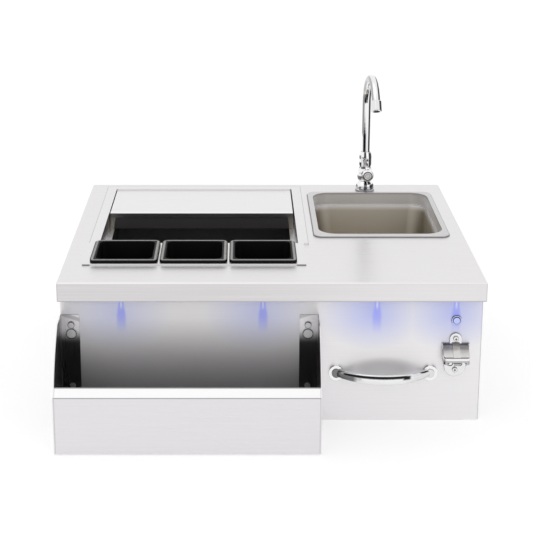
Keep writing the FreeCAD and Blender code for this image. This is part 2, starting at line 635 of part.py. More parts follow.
def make_side_panel(label, side):
    """The web's outer face is at x = 0; the flanges turn outward, under the counter's overhang."""
    body = new_body(label)
    height = UNDERSIDE - s.panel_lift
    length = CASING_REAR - PANEL_BACK
    web, flange = s.sheet * -side, s.side_flange * side
    section = [(web, ZERO), (ZERO, ZERO), (ZERO, height - s.sheet), (flange, height - s.sheet),
               (flange, height), (web, height)]
    prism(body, "web", "y", [Outline(section)], ZERO, length)
    prism(body, "front_flange", "z", [rectangle(ZERO, flange, ZERO, s.sheet)], ZERO, height - s.sheet)
    middle = length / 2
    fixings = [Circle(middle + s.fixing_pitch_y / 2 * along, s.fixing_height - s.panel_lift
                      + s.fixing_pitch_z / 2 * up, s.fixing_radius) for along in (-1, 1) for up in (-1, 1)]
    screws = [Circle(middle + s.casing_screw_pitch * along, s.casing_screw_height - s.panel_lift,
                     s.casing_screw_radius) for along in (-1, 0, 1)]
    prism(body, "holes", "x", fixings + screws, -s.sheet * 2, s.sheet * 2, cut=True)
    if side < 0:
        stud_x = STUDS_X[0] + CASING_HALF_WIDTH
        studs = [Circle(stud_x, z - s.panel_lift, s.stud_shank + s.fine_gap) for z in STUDS_Z]
        prism(body, "stud_holes", "y", studs, -s.sheet, s.sheet * 2, cut=True)
    place(body, CASING_HALF_WIDTH * side, PANEL_BACK, s.panel_lift)


def make_back_panel():
    body = new_body("back_panel")
    half_width = CASING_HALF_WIDTH - s.sheet
    height = UNDERSIDE - s.panel_lift
    section = [(-s.sheet, ZERO), (ZERO, ZERO), (ZERO, height - s.sheet), (s.flange, height - s.sheet),
               (s.flange, height), (-s.sheet, height)]
    prism(body, "web", "x", [Outline(section)], -half_width, half_width)
    place(body, ZERO, CASING_REAR, s.panel_lift)


def make_bottom_pan():
    """Tray that closes the casing, open below the basin, the tap and the bin's drain."""
    body = new_body("bottom_pan")
    half_width = CASING_HALF_WIDTH - s.sheet
    front, rear = PANEL_BACK, CASING_REAR - s.sheet
    prism(body, "block", "z", [rectangle(-half_width, half_width, front, rear)], ZERO, s.pan_lip)
    prism(body, "hollow", "z", [rectangle(s.sheet - half_width, half_width - s.sheet, front + s.sheet,
                                          rear - s.sheet)], s.sheet, s.pan_lip, cut=True)
    openings = [
        centred(s.service_width / 2, s.service_depth / 2, BASIN_X, BASIN_Y),
        Circle(WELL_X, WELL_Y + s.bin_drain_y, s.drain_well_radius),
        Circle(TAP_X, TAP_Y, s.inlet_opening),
    ]
    prism(body, "openings", "z", openings, -s.sheet, s.sheet * 2, cut=True)
    middle = (PANEL_BACK + CASING_REAR) / 2
    screws = [Circle(middle + s.casing_screw_pitch * along, s.casing_screw_height, s.casing_screw_radius)
              for along in (-1, 0, 1)]
    prism(body, "screw_holes", "x", screws, -CASING_HALF_WIDTH, CASING_HALF_WIDTH, cut=True)
    place(body, ZERO, ZERO, ZERO)


def make_casing_screws():
    """Screws through both side panels into the pan's lips."""
    body = new_body("casing_screws")
    middle = (PANEL_BACK + CASING_REAR) / 2
    face = CASING_HALF_WIDTH
    for side, name in ((-1, "left"), (1, "right")):
        for part, radius, inner, outer in (
                ("shanks", s.casing_screw_radius - s.fine_gap / 3, face - s.sheet * 4, face),
                ("heads", s.casing_screw_head, face, face + s.casing_screw_radius)):
            low, high = (inner, outer) if side > 0 else (-outer, -inner)
            screws = [Circle(middle + s.casing_screw_pitch * along, s.casing_screw_height, radius)
                      for along in (-1, 0, 1)]
            prism(body, f"{name}_{part}", "x", screws, low, high)
    place(body, ZERO, ZERO, ZERO)


def make_divider():
    """Upright sheet between the ice bin and the basin."""
    body = new_body("divider")
    height = UNDERSIDE - s.sheet
    section = [(ZERO, ZERO), (s.sheet, ZERO), (s.sheet, height - s.sheet), (s.flange, height - s.sheet),
               (s.flange, height), (ZERO, height)]
    prism(body, "web", "y", [Outline(section)], PANEL_BACK + s.sheet, CASING_REAR - s.sheet * 2)
    place(body, DIVIDER_X, ZERO, s.sheet)


# -------------------------------------------------------------------------------- ice well and bin

def make_well_frame():
    """Walls turned down into the well, the raised band round them and the ledges for the lid."""
    body = new_body("well_frame")
    wall_x, wall_y = WELL_HALF_WIDTH + s.sheet, WELL_HALF_LENGTH + s.sheet
    band_front = RACK_REAR - WELL_Y
    band_x, band_y = WELL_HALF_WIDTH + s.band_width, WELL_HALF_LENGTH + s.band_width
    prism(body, "walls", "z", [centred(wall_x, wall_y), centred(WELL_HALF_WIDTH, WELL_HALF_LENGTH)],
          -s.well_wall_drop, ZERO)
    band = Outline([
        (-band_x, band_front), (-WELL_HALF_WIDTH, band_front), (-WELL_HALF_WIDTH, WELL_HALF_LENGTH),
        (WELL_HALF_WIDTH, WELL_HALF_LENGTH), (WELL_HALF_WIDTH, band_front), (band_x, band_front),
        (band_x, band_y), (-band_x, band_y)])
    prism(body, "band", "z", [band], ZERO, s.band_height)
    edge = WELL_HALF_WIDTH - s.ledge_width
    ledge_front = band_front + s.ledge_start
    ledges = [rectangle(-WELL_HALF_WIDTH, -edge, ledge_front, WELL_HALF_LENGTH),
              rectangle(edge, WELL_HALF_WIDTH, ledge_front, WELL_HALF_LENGTH)]
    prism(body, "ledges", "z", ledges, -s.ledge_drop - s.sheet, -s.ledge_drop)
    place(body, WELL_X, WELL_Y, TOP)


def bin_outline(outset, depth):
    """The bin's wall line at a depth below the counter's top, moved out by outset."""
    lean = s.bin_draft * (depth.number / BIN_DEPTH.number)
    return rounded(BIN_HALF_WIDTH - lean + outset, BIN_HALF_LENGTH - lean + outset, s.bin_corner + outset)


def make_ice_bin():
    body = new_body("ice_bin")
    top, floor, bottom = s.sheet, BIN_DEPTH, BIN_DEPTH + s.bin_wall
    rim = bin_outline(s.bin_wall + s.bin_rim, top)
    loft(body, "shell", bin_outline(s.bin_wall, top), -top, bin_outline(s.bin_wall, bottom), -bottom)
    prism(body, "rim", "z", [rim], -top - s.bin_wall, -top)
    loft(body, "inside", bin_outline(ZERO, ZERO), ZERO, bin_outline(ZERO, floor), -floor, cut=True)
    prism(body, "drain_hole", "z", [Circle(ZERO, s.bin_drain_y, s.bin_drain_radius + s.fine_gap)],
          -bottom - BEYOND, -floor + BEYOND, cut=True)
    place(body, WELL_X, WELL_Y, TOP)


def make_bin_insulation():
    body = new_body("bin_insulation")
    outset = s.bin_wall + s.fine_gap
    half_width = BIN_HALF_WIDTH + s.bin_wall + s.foam_wall
    half_length = BIN_HALF_LENGTH + s.bin_wall + s.foam_wall
    bottom = BIN_DEPTH + s.bin_wall
    prism(body, "block", "z", [centred(half_width, half_length)], -bottom - s.foam_floor, -s.foam_top)
    loft(body, "inside", bin_outline(outset, ZERO), ZERO, bin_outline(outset, bottom), -bottom, cut=True)
    prism(body, "drain_hole", "z", [Circle(ZERO, s.bin_drain_y, s.drain_well_radius)],
          -bottom - s.foam_floor - BEYOND, -bottom + BEYOND, cut=True)
    place(body, WELL_X, WELL_Y, TOP)


def make_bin_bracket(label, side):
    """Angle on the casing's side or on the divider that carries the bin's rim."""
    body = new_body(label)
    support = DIVIDER_X - WELL_X if side > 0 else CASING_HALF_WIDTH - s.sheet + WELL_X
    edge = BIN_HALF_WIDTH + s.bin_wall + 2
    top = -s.sheet - s.bin_wall
    section = [(edge * side, top), (support * side, top), (support * side, top - s.bracket_drop),
               ((support - s.sheet) * side, top - s.bracket_drop),
               ((support - s.sheet) * side, top - s.sheet), (edge * side, top - s.sheet)]
    half_length = BIN_HALF_LENGTH - s.bin_corner
    prism(body, "angle", "y", [Outline(section)], -half_length, half_length)
    place(body, WELL_X, WELL_Y, TOP)


def make_bin_drain():
    """Flange inside the bin, threaded through its floor, with a plain spigot below the nut."""
    body = new_body("bin_drain")
    height = s.gasket_height
    tail, spigot, bore = s.bin_drain_radius, s.bin_drain_spigot, s.bin_drain_bore
    step = -s.bin_wall - s.gasket_height - s.drain_nut_height - s.relief_height
    groove = step - s.relief_height
    profile = Outline([
        (bore, -s.bin_drain_length), (spigot, -s.bin_drain_length), (spigot, groove),
        (spigot - s.relief_depth, groove), (spigot - s.relief_depth, step), (tail, step), (tail, ZERO),
        (s.bin_drain_flange, ZERO), (s.bin_drain_flange, height), (bore, height)])
    turned(body, "fitting", [profile])
    place(body, WELL_X, WELL_Y + s.bin_drain_y, TOP - BIN_DEPTH)


def make_ring(label, outline, bore, low, high, x, y, z):
    """A flat ring or nut: an outline with a round bore."""
    body = new_body(label)
    prism(body, "ring", "z", [outline, Circle(ZERO, ZERO, bore)], low, high)
    place(body, x, y, z)


def make_bin_drain_fixings():
    y = WELL_Y + s.bin_drain_y
    floor = TOP - BIN_DEPTH - s.bin_wall
    bore = s.bin_drain_radius + s.fine_gap / 3
    make_ring("bin_drain_gasket", Circle(ZERO, ZERO, s.bin_drain_flange), bore, -s.gasket_height, ZERO,
              WELL_X, y, floor)
    make_ring("bin_drain_nut", hexagon(s.drain_nut_radius), bore, -s.gasket_height - s.drain_nut_height,
              -s.gasket_height, WELL_X, y, floor)


# ------------------------------------------------------------------------------------ lid and trays

def make_lid_skin():
    """Folded cover with a front lip, closed sides and tapered tabs beside the open front."""
    body = new_body("lid_skin")
    half_width, half_length = LID_WIDTH / 2, s.lid_length / 2
    prism(body, "block", "z", [centred(half_width, half_length)], -s.ledge_drop, ZERO)
    round_edges(body, "top_bends", s.lid_sheet, lambda edge: lies_level(edge, ZERO))
    prism(body, "hollow", "z", [centred(half_width - s.lid_sheet, half_length - s.lid_sheet)],
          -s.ledge_drop, -s.lid_sheet, cut=True)
    low, high = half_width - s.lid_tab_foot, half_width - s.lid_tab_top
    below = -s.ledge_drop - BEYOND
    opening = Outline([(-low, below), (low, below), (high, -s.lid_lip), (-high, -s.lid_lip)])
    prism(body, "front_opening", "y", [opening], -half_length - BEYOND, -half_length + s.lid_sheet, cut=True)
    place(body, LID_X, LID_Y, TOP)


def make_lid_core():
    body = new_body("lid_core")
    inside = centred(LID_WIDTH / 2 - s.lid_sheet, s.lid_length / 2 - s.lid_sheet)
    prism(body, "slab", "z", [inside], -s.ledge_drop + s.core_lift, -s.lid_sheet)
    place(body, LID_X, LID_Y, TOP)


def make_tray_rack():
    """Plate over the front of the well with a hole for each tray."""
    body = new_body("tray_rack")
    half_depth = s.rack_depth / 2
    left, right = RACK_LEFT, RACK_RIGHT
    prism(body, "plate", "z", [rectangle(left, right, -half_depth, half_depth)], ZERO, s.band_height)
    inner_left, inner_right = WELL_LEFT + s.slip, WELL_RIGHT - s.slip
    prism(body, "rear_fold", "z", [rectangle(inner_left, inner_right, half_depth - s.sheet, half_depth)],
          -s.rack_fold, s.band_height)
    prism(body, "hollow", "z", [rectangle(left + s.sheet, right - s.sheet, s.sheet - half_depth,
                                          half_depth - s.sheet)], ZERO, s.band_height - s.sheet, cut=True)
    half_width = TRAY_OPENING_X + s.tray_wall + s.slip
    half_length = TRAY_OPENING_Y + s.tray_wall + s.slip
    holes = [rounded(half_width, half_length, s.tray_corner + s.slip, x, TRAY_Y - RACK_Y) for x in TRAYS_X]
    prism(body, "tray_holes", "z", holes, ZERO, s.band_height + BEYOND, cut=True)
    place(body, ZERO, RACK_Y, TOP)


def make_tray(label, x):
    """Moulded tray that hangs in the rack by its rolled rim."""
    body = new_body(label)
    wall, rim_top = s.tray_wall, s.tray_rim_height
    outside = rounded(TRAY_OPENING_X + wall, TRAY_OPENING_Y + wall, s.tray_corner + wall)
    foot = rounded(TRAY_OPENING_X + wall - s.tray_draft, TRAY_OPENING_Y + wall - s.tray_draft,
                   s.tray_corner + wall)
    rim = rounded(TRAY_WIDTH / 2, s.tray_length / 2, s.tray_corner + wall)
    skirt = rounded(TRAY_WIDTH / 2 - wall, s.tray_length / 2 - wall, s.tray_corner)
    prism(body, "rim", "z", [rim], ZERO, rim_top)
    round_edges(body, "rim_round", wall, lambda edge: lies_level(edge, rim_top))
    prism(body, "rim_hollow", "z", [skirt, outside], ZERO, rim_top - wall, cut=True)
    loft(body, "bowl", outside, ZERO, foot, -s.tray_depth)
    inside = rounded(TRAY_OPENING_X, TRAY_OPENING_Y, s.tray_corner)
    inside_foot = rounded(TRAY_OPENING_X - s.tray_draft, TRAY_OPENING_Y - s.tray_draft, s.tray_corner)
    loft(body, "inside", inside, rim_top, inside_foot, -s.tray_depth + wall, cut=True)
    place(body, x, TRAY_Y, TOP + s.band_height)


# ------------------------------------------------------------------------------ basin and its drain

def make_sink_basin():
    """Deep-drawn basin: rolled flange, straight upper wall, stacking shoulder, leaning lower wall."""
    body = new_body("sink_basin")
    sheet, corner, floor = s.basin_sheet, s.basin_corner, s.basin_depth
    x, y = BASIN_HALF_WIDTH, BASIN_HALF_LENGTH
    low_x, low_y = x - s.basin_step - s.basin_draft, y - s.basin_step - s.basin_draft
    flange_x, flange_y = s.basin_flange_width / 2, s.basin_flange_length / 2
    flange_corner, rim_height = s.basin_flange_corner, s.basin_rim_height
    prism(body, "flange", "z", [rounded(flange_x, flange_y, flange_corner)], ZERO, rim_height)
    round_edges(body, "flange_roll", rim_height / 2, lambda edge: lies_level(edge, rim_height))
    under_flange = [rounded(flange_x - sheet, flange_y - sheet, flange_corner - sheet),
                    rounded(x + sheet, y + sheet, corner + sheet)]
    prism(body, "flange_hollow", "z", under_flange, ZERO, rim_height - sheet, cut=True)
    prism(body, "upper_wall", "z", [rounded(x + sheet, y + sheet, corner + sheet)],
          -s.basin_shoulder - sheet, ZERO)
    loft(body, "lower_wall",
         rounded(x - s.basin_step + sheet, y - s.basin_step + sheet, corner - s.basin_step + sheet),
         -s.basin_shoulder, rounded(low_x + sheet, low_y + sheet, corner - s.basin_step), -floor - sheet)
    prism(body, "upper_inside", "z", [rounded(x, y, corner)], -s.basin_shoulder, rim_height, cut=True)
    loft(body, "lower_inside", rounded(x - s.basin_step, y - s.basin_step, corner - s.basin_step),
         -s.basin_shoulder, rounded(low_x, low_y, corner - s.basin_step - sheet), -floor, cut=True)
    round_edges(body, "floor_round", s.basin_floor_round, lambda edge: lies_level(edge, -floor))
    round_edges(body, "outer_floor_round", s.basin_floor_round + sheet,
                lambda edge: lies_level(edge, -floor - sheet))
    prism(body, "drain_hole", "z", [Circle(ZERO, ZERO, s.strainer_hole + s.fine_gap)],
          -floor - sheet - BEYOND, -floor + BEYOND, cut=True)
    place(body, BASIN_X, BASIN_Y, TOP)


def make_basin_clips():
    """Angle clips between the basin's upper wall and the counter's underside."""
    body = new_body("basin_clips")
    wall = BASIN_HALF_LENGTH + s.basin_sheet
    low = -s.basin_shoulder
    for side in (-1, 1):
        face, edge = wall * side, (wall + s.clip_reach) * side
        section = Outline([(face, low), (face + s.sheet * side, low), (face + s.sheet * side, -s.sheet * 2),
                           (edge, -s.sheet * 2), (edge, -s.sheet), (face, -s.sheet)])
        for number, place_x in enumerate((-s.clip_spread / 2, s.clip_spread / 2), start=1):
            name = f"clip_{'front' if side < 0 else 'rear'}_{number}"
            prism(body, name, "x", [section], place_x - s.clip_width / 2, place_x + s.clip_width / 2)
    place(body, BASIN_X, BASIN_Y, TOP)


def make_strainer():
    floor = TOP - s.basin_depth
    wall, cup = s.strainer_wall, s.strainer_cup
    outer = s.strainer_hole - s.fine_gap
    neck, end = s.strainer_neck, s.strainer_neck_end
    bore, shoulder = neck - s.strainer_neck_wall, -cup - wall * 2
    body = new_body("strainer_body")
    profile = Outline([
        (s.strainer_flange, ZERO), (s.strainer_flange, s.strainer_flange_height),
        (outer - wall, s.strainer_flange_height), (outer - wall - s.cup_draft, -cup), (bore, -cup),
        (bore, -end), (neck, -end), (neck, shoulder), (outer, shoulder), (outer, ZERO)])
    turned(body, "cup", [profile])
    place(body, BASIN_X, BASIN_Y, floor)

    under = floor - s.basin_sheet
    ring_bore = outer + s.fine_gap / 3
    make_ring("strainer_gasket", Circle(ZERO, ZERO, s.strainer_flange), ring_bore, -s.gasket_height, ZERO,
              BASIN_X, BASIN_Y, under)
    make_ring("strainer_nut", Circle(ZERO, ZERO, s.strainer_nut_radius), ring_bore,
              -s.gasket_height - s.strainer_nut_height, -s.gasket_height, BASIN_X, BASIN_Y, under)


def make_strainer_basket():
    """Lift-out basket: a thin cup with holes in its floor and a knob to lift it by."""
    body = new_body("strainer_basket")
    top = s.strainer_flange_height
    rim = s.strainer_hole - s.fine_gap - s.strainer_wall - s.fine_gap * 2
    wall, foot = s.basket_wall, rim - s.cup_draft - s.basket_wall
    low = top - s.basket_depth
    profile = Outline([(ZERO, low), (foot, low), (rim, top), (rim - wall, top), (foot - wall, low + wall),
                       (ZERO, low + wall)])
    turned(body, "cup", [profile])
    prism(body, "knob_stem", "z", [Circle(ZERO, ZERO, s.basket_knob / 2)], low, top)
    prism(body, "knob", "z", [Circle(ZERO, ZERO, s.basket_knob)], top, top + s.basket_knob)
    angles = [math.radians(45 * number) for number in range(8)]
    holes = [Circle(s.basket_hole_ring * math.cos(angle), s.basket_hole_ring * math.sin(angle),
                    s.basket_hole) for angle in angles]
    prism(body, "drain_holes", "z", holes, low - BEYOND, low + wall + BEYOND, cut=True)
    place(body, BASIN_X, BASIN_Y, TOP - s.basin_depth)


def make_tailpiece():
    """Flanged tube that hangs below the strainer, and the nut that holds it."""
    body = new_body("tailpiece")
    neck_end = TOP - s.basin_depth - s.strainer_neck_end
    tail, wall = s.tail_radius, s.tail_wall
    low, flange = s.tail_end_height - neck_end, s.strainer_neck - s.fine_gap
    swage, seat, nut_low = tail + s.tail_swage, -wall * 1.5, -wall * 4
    step = nut_low - s.relief_height
    groove = step - s.relief_height
    turned(body, "tube", [Outline([
        (tail - wall, ZERO), (tail - wall, low), (tail, low), (tail, groove), (tail - s.relief_depth, groove),
        (tail - s.relief_depth, step), (swage, step), (swage, seat), (flange, seat), (flange, ZERO)])])
    place(body, BASIN_X, BASIN_Y, neck_end)

    nut = new_body("tailpiece_nut")
    high, bore, thread = nut_low + s.slip_nut_height, swage + s.fine_gap / 3, s.strainer_neck + s.fine_gap / 3
    turned(nut, "nut", [Outline([
        (bore, nut_low), (s.slip_nut_radius, nut_low), (s.slip_nut_radius, high), (thread, high),
        (thread, seat), (bore, seat)])])
    place(nut, BASIN_X, BASIN_Y, neck_end)


# ---------------------------------------------------------------------------------------------- tap

def turn_about_z(degrees):
    return FreeCAD.Rotation(Vector(0, 0, 1), degrees)


def make_tap_body():
    """Cast foot, bell, urn and collar, with the threaded shank below and the boss for the knob."""
    body = new_body("tap_body")
    low = s.tap_gasket_height
    step = -s.sheet * 2 - s.tap_nut_height - s.relief_height
    groove, neck = step - s.relief_height, s.inlet_radius - s.relief_depth
    profile = Outline([
        (s.shank_bore, -s.shank_length), (s.inlet_radius, -s.shank_length), (s.inlet_radius, groove),
        (neck, groove), (neck, step), (s.shank_radius, step), (s.shank_radius, low),
        (s.tap_foot, low), (s.tap_foot, low + s.tap_foot_height), (s.tap_bell, low + s.tap_foot_height),
        (s.tap_bell, s.tap_bell_top, s.tap_bell, -1), (s.tap_neck, s.tap_neck_height, s.tap_urn, 1),
        (s.tap_urn, s.tap_urn_height, s.tap_urn, 1), (s.tap_waist, s.tap_waist_height),
        (s.tap_collar, s.tap_collar_low), (s.tap_collar, s.tap_collar_high, s.tap_shoulder, 1),
        (s.tap_mouth, s.tap_top), (s.tube_radius + s.fine_gap, s.tap_top),
        (s.tube_radius + s.fine_gap, s.tap_top - s.tap_socket_depth),
        (s.shank_bore, s.tap_top - s.tap_socket_depth)])
    turned(body, "casting", [profile])
    boss_end = s.valve_neck_end
    boss, stem = s.valve_neck_radius, s.stem_radius + s.fine_gap
    prism(body, "boss", "y", [Circle(ZERO, s.handle_height, boss)], -boss_end, -s.shank_bore - BEYOND)
    prism(body, "stem_bore", "y", [Circle(ZERO, s.handle_height, stem)],
          -boss_end - BEYOND, -boss_end + s.stem_depth + s.fine_gap, cut=True)
    place(body, TAP_X, TAP_Y, TOP, turn_about_z(s.tap_turn.number))


def make_tap_fixings():
    bore = s.shank_radius + s.fine_gap / 3
    washer_low = -s.sheet * 2
    for label, outline, low, high in (
            ("tap_gasket", Circle(ZERO, ZERO, s.tap_foot), ZERO, s.tap_gasket_height),
            ("tap_washer", Circle(ZERO, ZERO, s.tap_washer_radius), washer_low, -s.sheet),
            ("tap_nut", hexagon(s.tap_nut_radius), washer_low - s.tap_nut_height, washer_low)):
        make_ring(label, outline, bore, low, high, TAP_X, TAP_Y, TOP)


def spout_end(past_bend):
    """Where the tube's middle line is, past_bend beyond the end of its bend: (back, up)."""
    end = math.radians(s.spout_sweep.number)
    back = s.spout_bend * (math.cos(end) - 1) - past_bend * math.sin(end)
    up = s.spout_rise + s.spout_bend * math.sin(end) + past_bend * math.cos(end)
    return back, up


def make_tap_spout():
    """Gooseneck tube: its foot turns in the collar, and it bends over toward the basin."""
    body = new_body("tap_spout")
    foot = s.tap_top - s.tap_socket_depth + s.fine_gap
    path = body.newObject("Sketcher::SketchObject", "route")
    plane = next(item for item in body.Origin.OriginFeatures if item.Role == "YZ_Plane")
    path.AttachmentSupport = [(plane, "")]
    path.MapMode = "FlatFace"
    rise, bend, sweep = s.spout_rise, s.spout_bend, s.spout_sweep.number
    end = math.radians(sweep)
    path.addGeometry(Part.LineSegment(Vector(0, foot.number, 0), Vector(0, rise.number, 0)))
    centre = Vector(-bend.number, rise.number, 0)
    path.addGeometry(Part.ArcOfCircle(Part.Circle(centre, Vector(0, 0, 1), bend.number), 0, end))
    path.addConstraint(Sketcher.Constraint("Coincident", 0, 2, 1, 1))
    bend_end, tube_end = spout_end(ZERO), spout_end(s.aerator_overlap)
    path.addGeometry(Part.LineSegment(Vector(bend_end[0].number, bend_end[1].number, 0),
                                      Vector(tube_end[0].number, tube_end[1].number, 0)))
    path.addConstraint(Sketcher.Constraint("Coincident", 1, 2, 2, 1))
    hold_point(path, 0, 1, ZERO, foot)
    hold_point(path, 0, 2, ZERO, rise)
    hold_radius(path, 1, bend)
    hold_point(path, 2, 1, bend_end[0], bend_end[1])
    hold_point(path, 2, 2, tube_end[0], tube_end[1])
    walls = [Circle(ZERO, ZERO, radius) for radius in (s.tube_radius, s.tube_radius - s.tube_wall)]
    section = new_sketch(body, "section", "XY_Plane", walls, foot)
    tube = body.newObject("PartDesign::AdditivePipe", "tube")
    tube.Profile = section
    tube.Spine = (path, ["Edge1", "Edge2", "Edge3"])
    place(body, TAP_X, TAP_Y, TOP, turn_about_z(s.spout_turn.number))


def make_tap_aerator():
    """Outlet on the end of the tube; z runs out of the tube."""
    body = new_body("tap_aerator")
    radius, bore = s.aerator_radius, s.tube_radius + s.fine_gap / 3
    inner, bevel = s.tube_radius - s.tube_wall, s.aerator_bevel
    top, end = -s.aerator_overlap, s.aerator_length - s.aerator_overlap
    turned(body, "outlet", [Outline([
        (bore, top), (radius - bevel, top), (radius, top + bevel), (radius, end - bevel),
        (radius - bevel, end),
        (inner, end), (inner, ZERO), (bore, ZERO)])])
    back, up = spout_end(s.aerator_overlap)
    tilt = FreeCAD.Rotation(Vector(1, 0, 0), s.spout_sweep.number)
    spout = FreeCAD.Placement(Vector(TAP_X.number, TAP_Y.number, TOP.number),
                              turn_about_z(s.spout_turn.number))
    body.Placement = spout.multiply(FreeCAD.Placement(Vector(0, back.number, up.number), tilt))


def knob_placement(distance):
    """A place on the knob's axis, with z pointing out of the knob."""
    turn = turn_about_z(s.tap_turn.number)
    out = FreeCAD.Rotation(Vector(1, 0, 0), 90)
    base = Vector(TAP_X.number, TAP_Y.number, (TOP + s.handle_height).number)
    return FreeCAD.Placement(base, turn).multiply(FreeCAD.Placement(Vector(0, -distance.number, 0), out))


def make_tap_handle():
    """Round knob with its stem, dished in front for the cap."""
    body = new_body("tap_handle")
    gap, radius, length = s.fine_gap, s.knob_radius, s.knob_length
    bevel, front = s.knob_bevel, s.knob_round
    turned(body, "knob", [Outline([
        (ZERO, -s.stem_depth), (s.stem_radius, -s.stem_depth), (s.stem_radius, gap), (radius - bevel, gap),
        (radius, gap + bevel), (radius, length - front, front, 1), (radius - front, length),
        (s.index_radius, length), (s.index_radius, length - s.index_depth),
        (ZERO, length - s.index_depth)])])
    body.Placement = knob_placement(s.valve_neck_end)

    cap = new_body("tap_index")
    prism(cap, "cap", "z", [Circle(ZERO, ZERO, s.index_radius)], length - s.index_depth, length)
    cap.Placement = knob_placement(s.valve_neck_end)


# --------------------------------------------------------------------------------------- bottle rail

def make_rail_trough():
    """Folded trough: rear upstand, floor, front and a lip that leans back. y runs back from the panel."""
    body = new_body("rail_trough")
    t = s.sheet
    near = -s.fine_gap - t
    far = -s.rail_depth
    height, lip_y, lip_z = s.rail_front_height, far + s.rail_lip_lean, s.rail_front_height + s.rail_lip_rise
    section = [
        (far, ZERO), (near, ZERO), (near, s.rail_back_height), (near - t, s.rail_back_height), (near - t, t),
        (far + t, t), (far + t, height - t / 2), (lip_y + t * 0.55, lip_z - t * 0.8), (lip_y, lip_z),
        (far, height)]
    prism(body, "folds", "x", [Outline(section)], t, RAIL_RIGHT - RAIL_LEFT - t)
    place(body, RAIL_LEFT, PANEL_FACE, s.rail_lift)


def make_rail_end(label, side):
    """End plate with a curved front edge and the flange with the keyholes. x = 0 is its outer face."""
    body = new_body(label)
    t = s.sheet
    inward = -side
    back = -s.fine_gap
    height = s.rail_end_height
    far = -s.rail_depth
    front_z = s.rail_front_height
    lip_y, lip_z = far + s.rail_lip_lean, front_z + s.rail_lip_rise
    plate = Outline([
        (back, ZERO), (back, height), (-s.rail_end_flat, height, s.rail_end_bow, 1), (lip_y, lip_z),
        (far, front_z), (far, ZERO)])
    low, high = (ZERO, t) if inward > 0 else (-t, ZERO)
    prism(body, "plate", "x", [plate], low, high)
    round_edges(body, "shoulder", s.rail_end_shoulder, lambda edge: abs(
        edge.BoundBox.YMin + s.rail_end_flat.number) < 1e-4 and edge.BoundBox.YLength < 1e-6
        and edge.BoundBox.ZLength < 1e-6)
    width = s.hook_width
    left, right = (ZERO, width) if inward > 0 else (-width, ZERO)
    prism(body, "flange", "z", [rectangle(left, right, back - t, back)], ZERO, height)
    round_edges(body, "flange_corner", s.hook_corner, lambda edge: abs(
        edge.BoundBox.Center.x - width.number * inward) < 1e-4 and abs(
        edge.BoundBox.Center.z - height.number) < 1e-4 and edge.BoundBox.YLength > 1e-3)
    x = s.keyhole_inset * inward
    for name, drop in (("upper", s.keyhole_top_drop), ("lower", s.keyhole_top_drop + s.keyhole_low_drop)):
        z = height - drop
        slot = rectangle(x - s.keyhole_slot, x + s.keyhole_slot, z - s.keyhole_travel, z)
        prism(body, f"{name}_slot", "y", [slot], back - t * 2, back + BEYOND, cut=True)
        prism(body, f"{name}_slot_end", "y", [Circle(x, z, s.keyhole_slot)], back - t * 2, back + BEYOND,
              cut=True)
        prism(body, f"{name}_mouth", "y", [Circle(x, z - s.keyhole_travel, s.keyhole_mouth)],
              back - t * 2, back + BEYOND, cut=True)
    place(body, RAIL_LEFT if side < 0 else RAIL_RIGHT, PANEL_FACE, s.rail_lift)


def make_rail_studs():
    """Headed studs in the panel and the left side's flange, and the nuts behind them."""
    studs = new_body("rail_studs")
    head_back = s.fine_gap * 2 + s.sheet
    places = [(x, z) for x in STUDS_X for z in STUDS_Z]
    prism(studs, "shanks", "y", [Circle(x, z, s.stud_shank) for x, z in places], -head_back, s.stud_tail)
    prism(studs, "heads", "y", [Circle(x, z, s.stud_head) for x, z in places],
          -head_back - s.stud_head_height, -head_back)
    place(studs, ZERO, PANEL_FACE, ZERO)

    nuts = new_body("stud_nuts")
    for name, x, seat in (("left", STUDS_X[0], s.sheet), ("right", STUDS_X[1], ZERO)):
        loops = []
        for z in STUDS_Z:
            loops += [hexagon(s.small_nut_radius, x, z), Circle(x, z, s.stud_shank + s.fine_gap / 3)]
        prism(nuts, f"{name}_nuts", "y", loops, seat, seat + s.small_nut_height)
    place(nuts, ZERO, PANEL_BACK, ZERO)


# ---------------------------------------------------------------------------------------- towel bar

